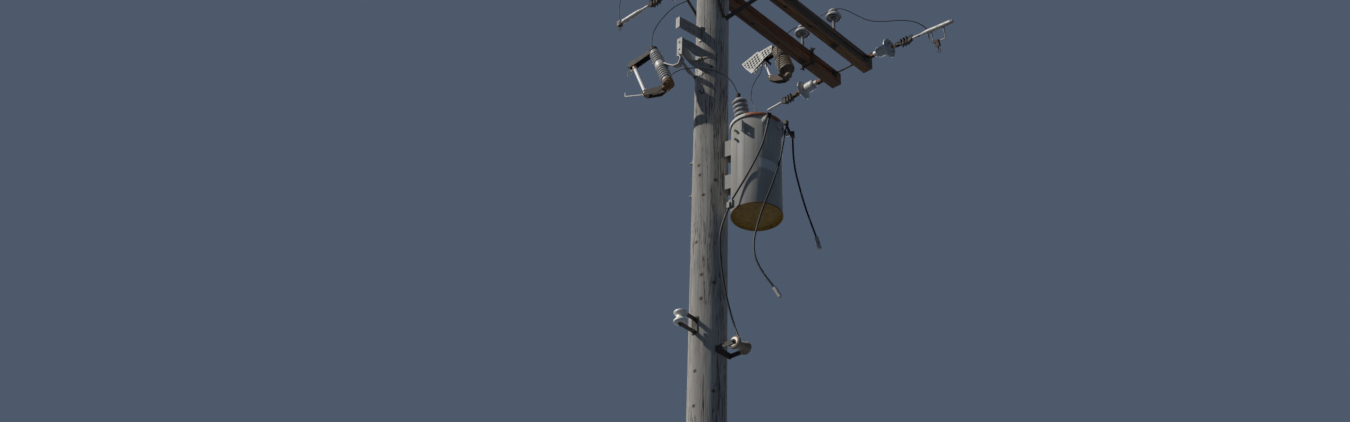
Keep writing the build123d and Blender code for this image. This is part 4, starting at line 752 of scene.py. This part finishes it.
def ribbon(name, points, width, thick, across, material):
    """Flat strap along smooth points, its width along the given direction."""
    holder = bpy.data.objects.new(name + "_line", smooth_curve(name, points, 10))
    line = [vert.co.copy() for vert in bpy.data.meshes.new_from_object(holder).vertices]
    bpy.data.objects.remove(holder)
    side = Vector(across).normalized() * width / 2
    verts = []
    for i, spot in enumerate(line):
        run = (line[min(i + 1, len(line) - 1)] - line[max(i - 1, 0)]).normalized()
        face = run.cross(side).normalized() * thick / 2
        verts += [spot + side + face, spot - side + face, spot - side - face, spot + side - face]
    faces = [(0, 1, 2, 3), tuple(len(verts) - 4 + k for k in (3, 2, 1, 0))]
    for i in range(len(line) - 1):
        faces += [(4 * i + k, 4 * i + 4 + k, 4 * i + 4 + (k + 1) % 4, 4 * i + (k + 1) % 4) for k in range(4)]
    mesh = bpy.data.meshes.new(name)
    mesh.from_pydata([tuple(v) for v in verts], [], faces)
    mesh.update()
    add_piece(name, mesh, material, smooth=False)


# Strap between two of the low-voltage terminals
strap = [(0.086, -0.620, 9.282), (0.092, -0.628, 9.245), (0.128, -0.626, 9.212), (0.176, -0.612, 9.206),
         (0.212, -0.590, 9.232), (0.222, -0.576, 9.272)]
ribbon("neutral_strap", strap, 0.020, 0.003, (0.25, -0.97, 0), MATERIALS["dark_steel"])

# Tie wires: the wire's radius, the groove's, how much the turns wander, and points in a turn and in all
TIE_R = 0.0022
GROOVE_R = 0.0385
TIE_WANDER = 0.0012
TURN_POINTS = 10
TIE_POINTS = 24


def tie_wire(name, x, y, z):
    """Wire round a pin insulator's groove, with a twisted end that stands up."""
    spots = []
    for k in range(TIE_POINTS):
        r = GROOVE_R + TIE_WANDER * math.sin(2.3 * k)
        a = k * math.tau / TURN_POINTS
        lift = 0.0004 * k - 0.004
        spots.append((x + r * math.cos(a), y + r * math.sin(a), z + lift))
    end_x, end_y, end_z = spots[-1]
    spots += [(end_x + 0.012, end_y - 0.006, end_z + 0.010), (end_x + 0.018, end_y + 0.004, end_z + 0.024)]
    curve = smooth_curve(name, spots, 4)
    curve.bevel_depth = TIE_R
    curve.bevel_resolution = 3
    curve.materials.append(MATERIALS["wire_cover"])
    made = bpy.data.objects.new(name, curve)
    bpy.context.scene.collection.objects.link(made)
    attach(made, ROOT)


for i, (x, y, z) in enumerate(TIES):
    tie_wire(f"tie_wire_{i + 1}", x, y, z)


# The tank's side weld, a bead that wanders up the wall, and its rolled lower rim
WELD_AZ = math.radians(CAN_AZ + 160)
WELD_R = 0.1805
WELD_WANDER = 0.0012
WELD_LOW = 8.60
WELD_STEP = 0.00915
WELD_POINTS = 80
RIM_Z = 8.5975

weld = []
for k in range(WELD_POINTS):
    r = WELD_R + WELD_WANDER * math.sin(k * 0.9)
    weld.append((CAN[0] + r * math.cos(WELD_AZ), CAN[1] + r * math.sin(WELD_AZ), WELD_LOW + k * WELD_STEP))
ribbon("tank_weld", weld, 0.007, 0.0022, (-math.sin(WELD_AZ), math.cos(WELD_AZ), 0),
       MATERIALS["tank_paint"])
rim = [(CAN_INNER_R, 0.001), (CAN_INNER_R, 0.0), (0.1785, -0.0002), (0.1815, 0.0008), (0.1826, 0.004),
       (0.1818, 0.0075), (0.1798, 0.0085), (0.1798, 0.006)]
add_piece("tank_rim", turned_mesh("tank_rim", rim, 96), rusty_rim(),
          place=Matrix.Translation((*CAN, RIM_Z)))


# Floor, out to the horizon
FLOOR_R = 160.0
floor_shader = Shader("floor")
floor_grain = floor_shader.noise(3, 4, 0.6)
floor_colour = floor_shader.ramp(floor_grain, (0.3, (0.42, 0.42, 0.42)), (0.7, (0.44, 0.44, 0.44)))
floor_mesh = turned_mesh("floor", [(0.0, 0.0), (FLOOR_R, 0.0)], 96)
floor_mesh.materials.append(floor_shader.finish(floor_colour, rough=0.9))
floor = bpy.data.objects.new("floor", floor_mesh)
bpy.context.scene.collection.objects.link(floor)
floor.visible_diffuse = False
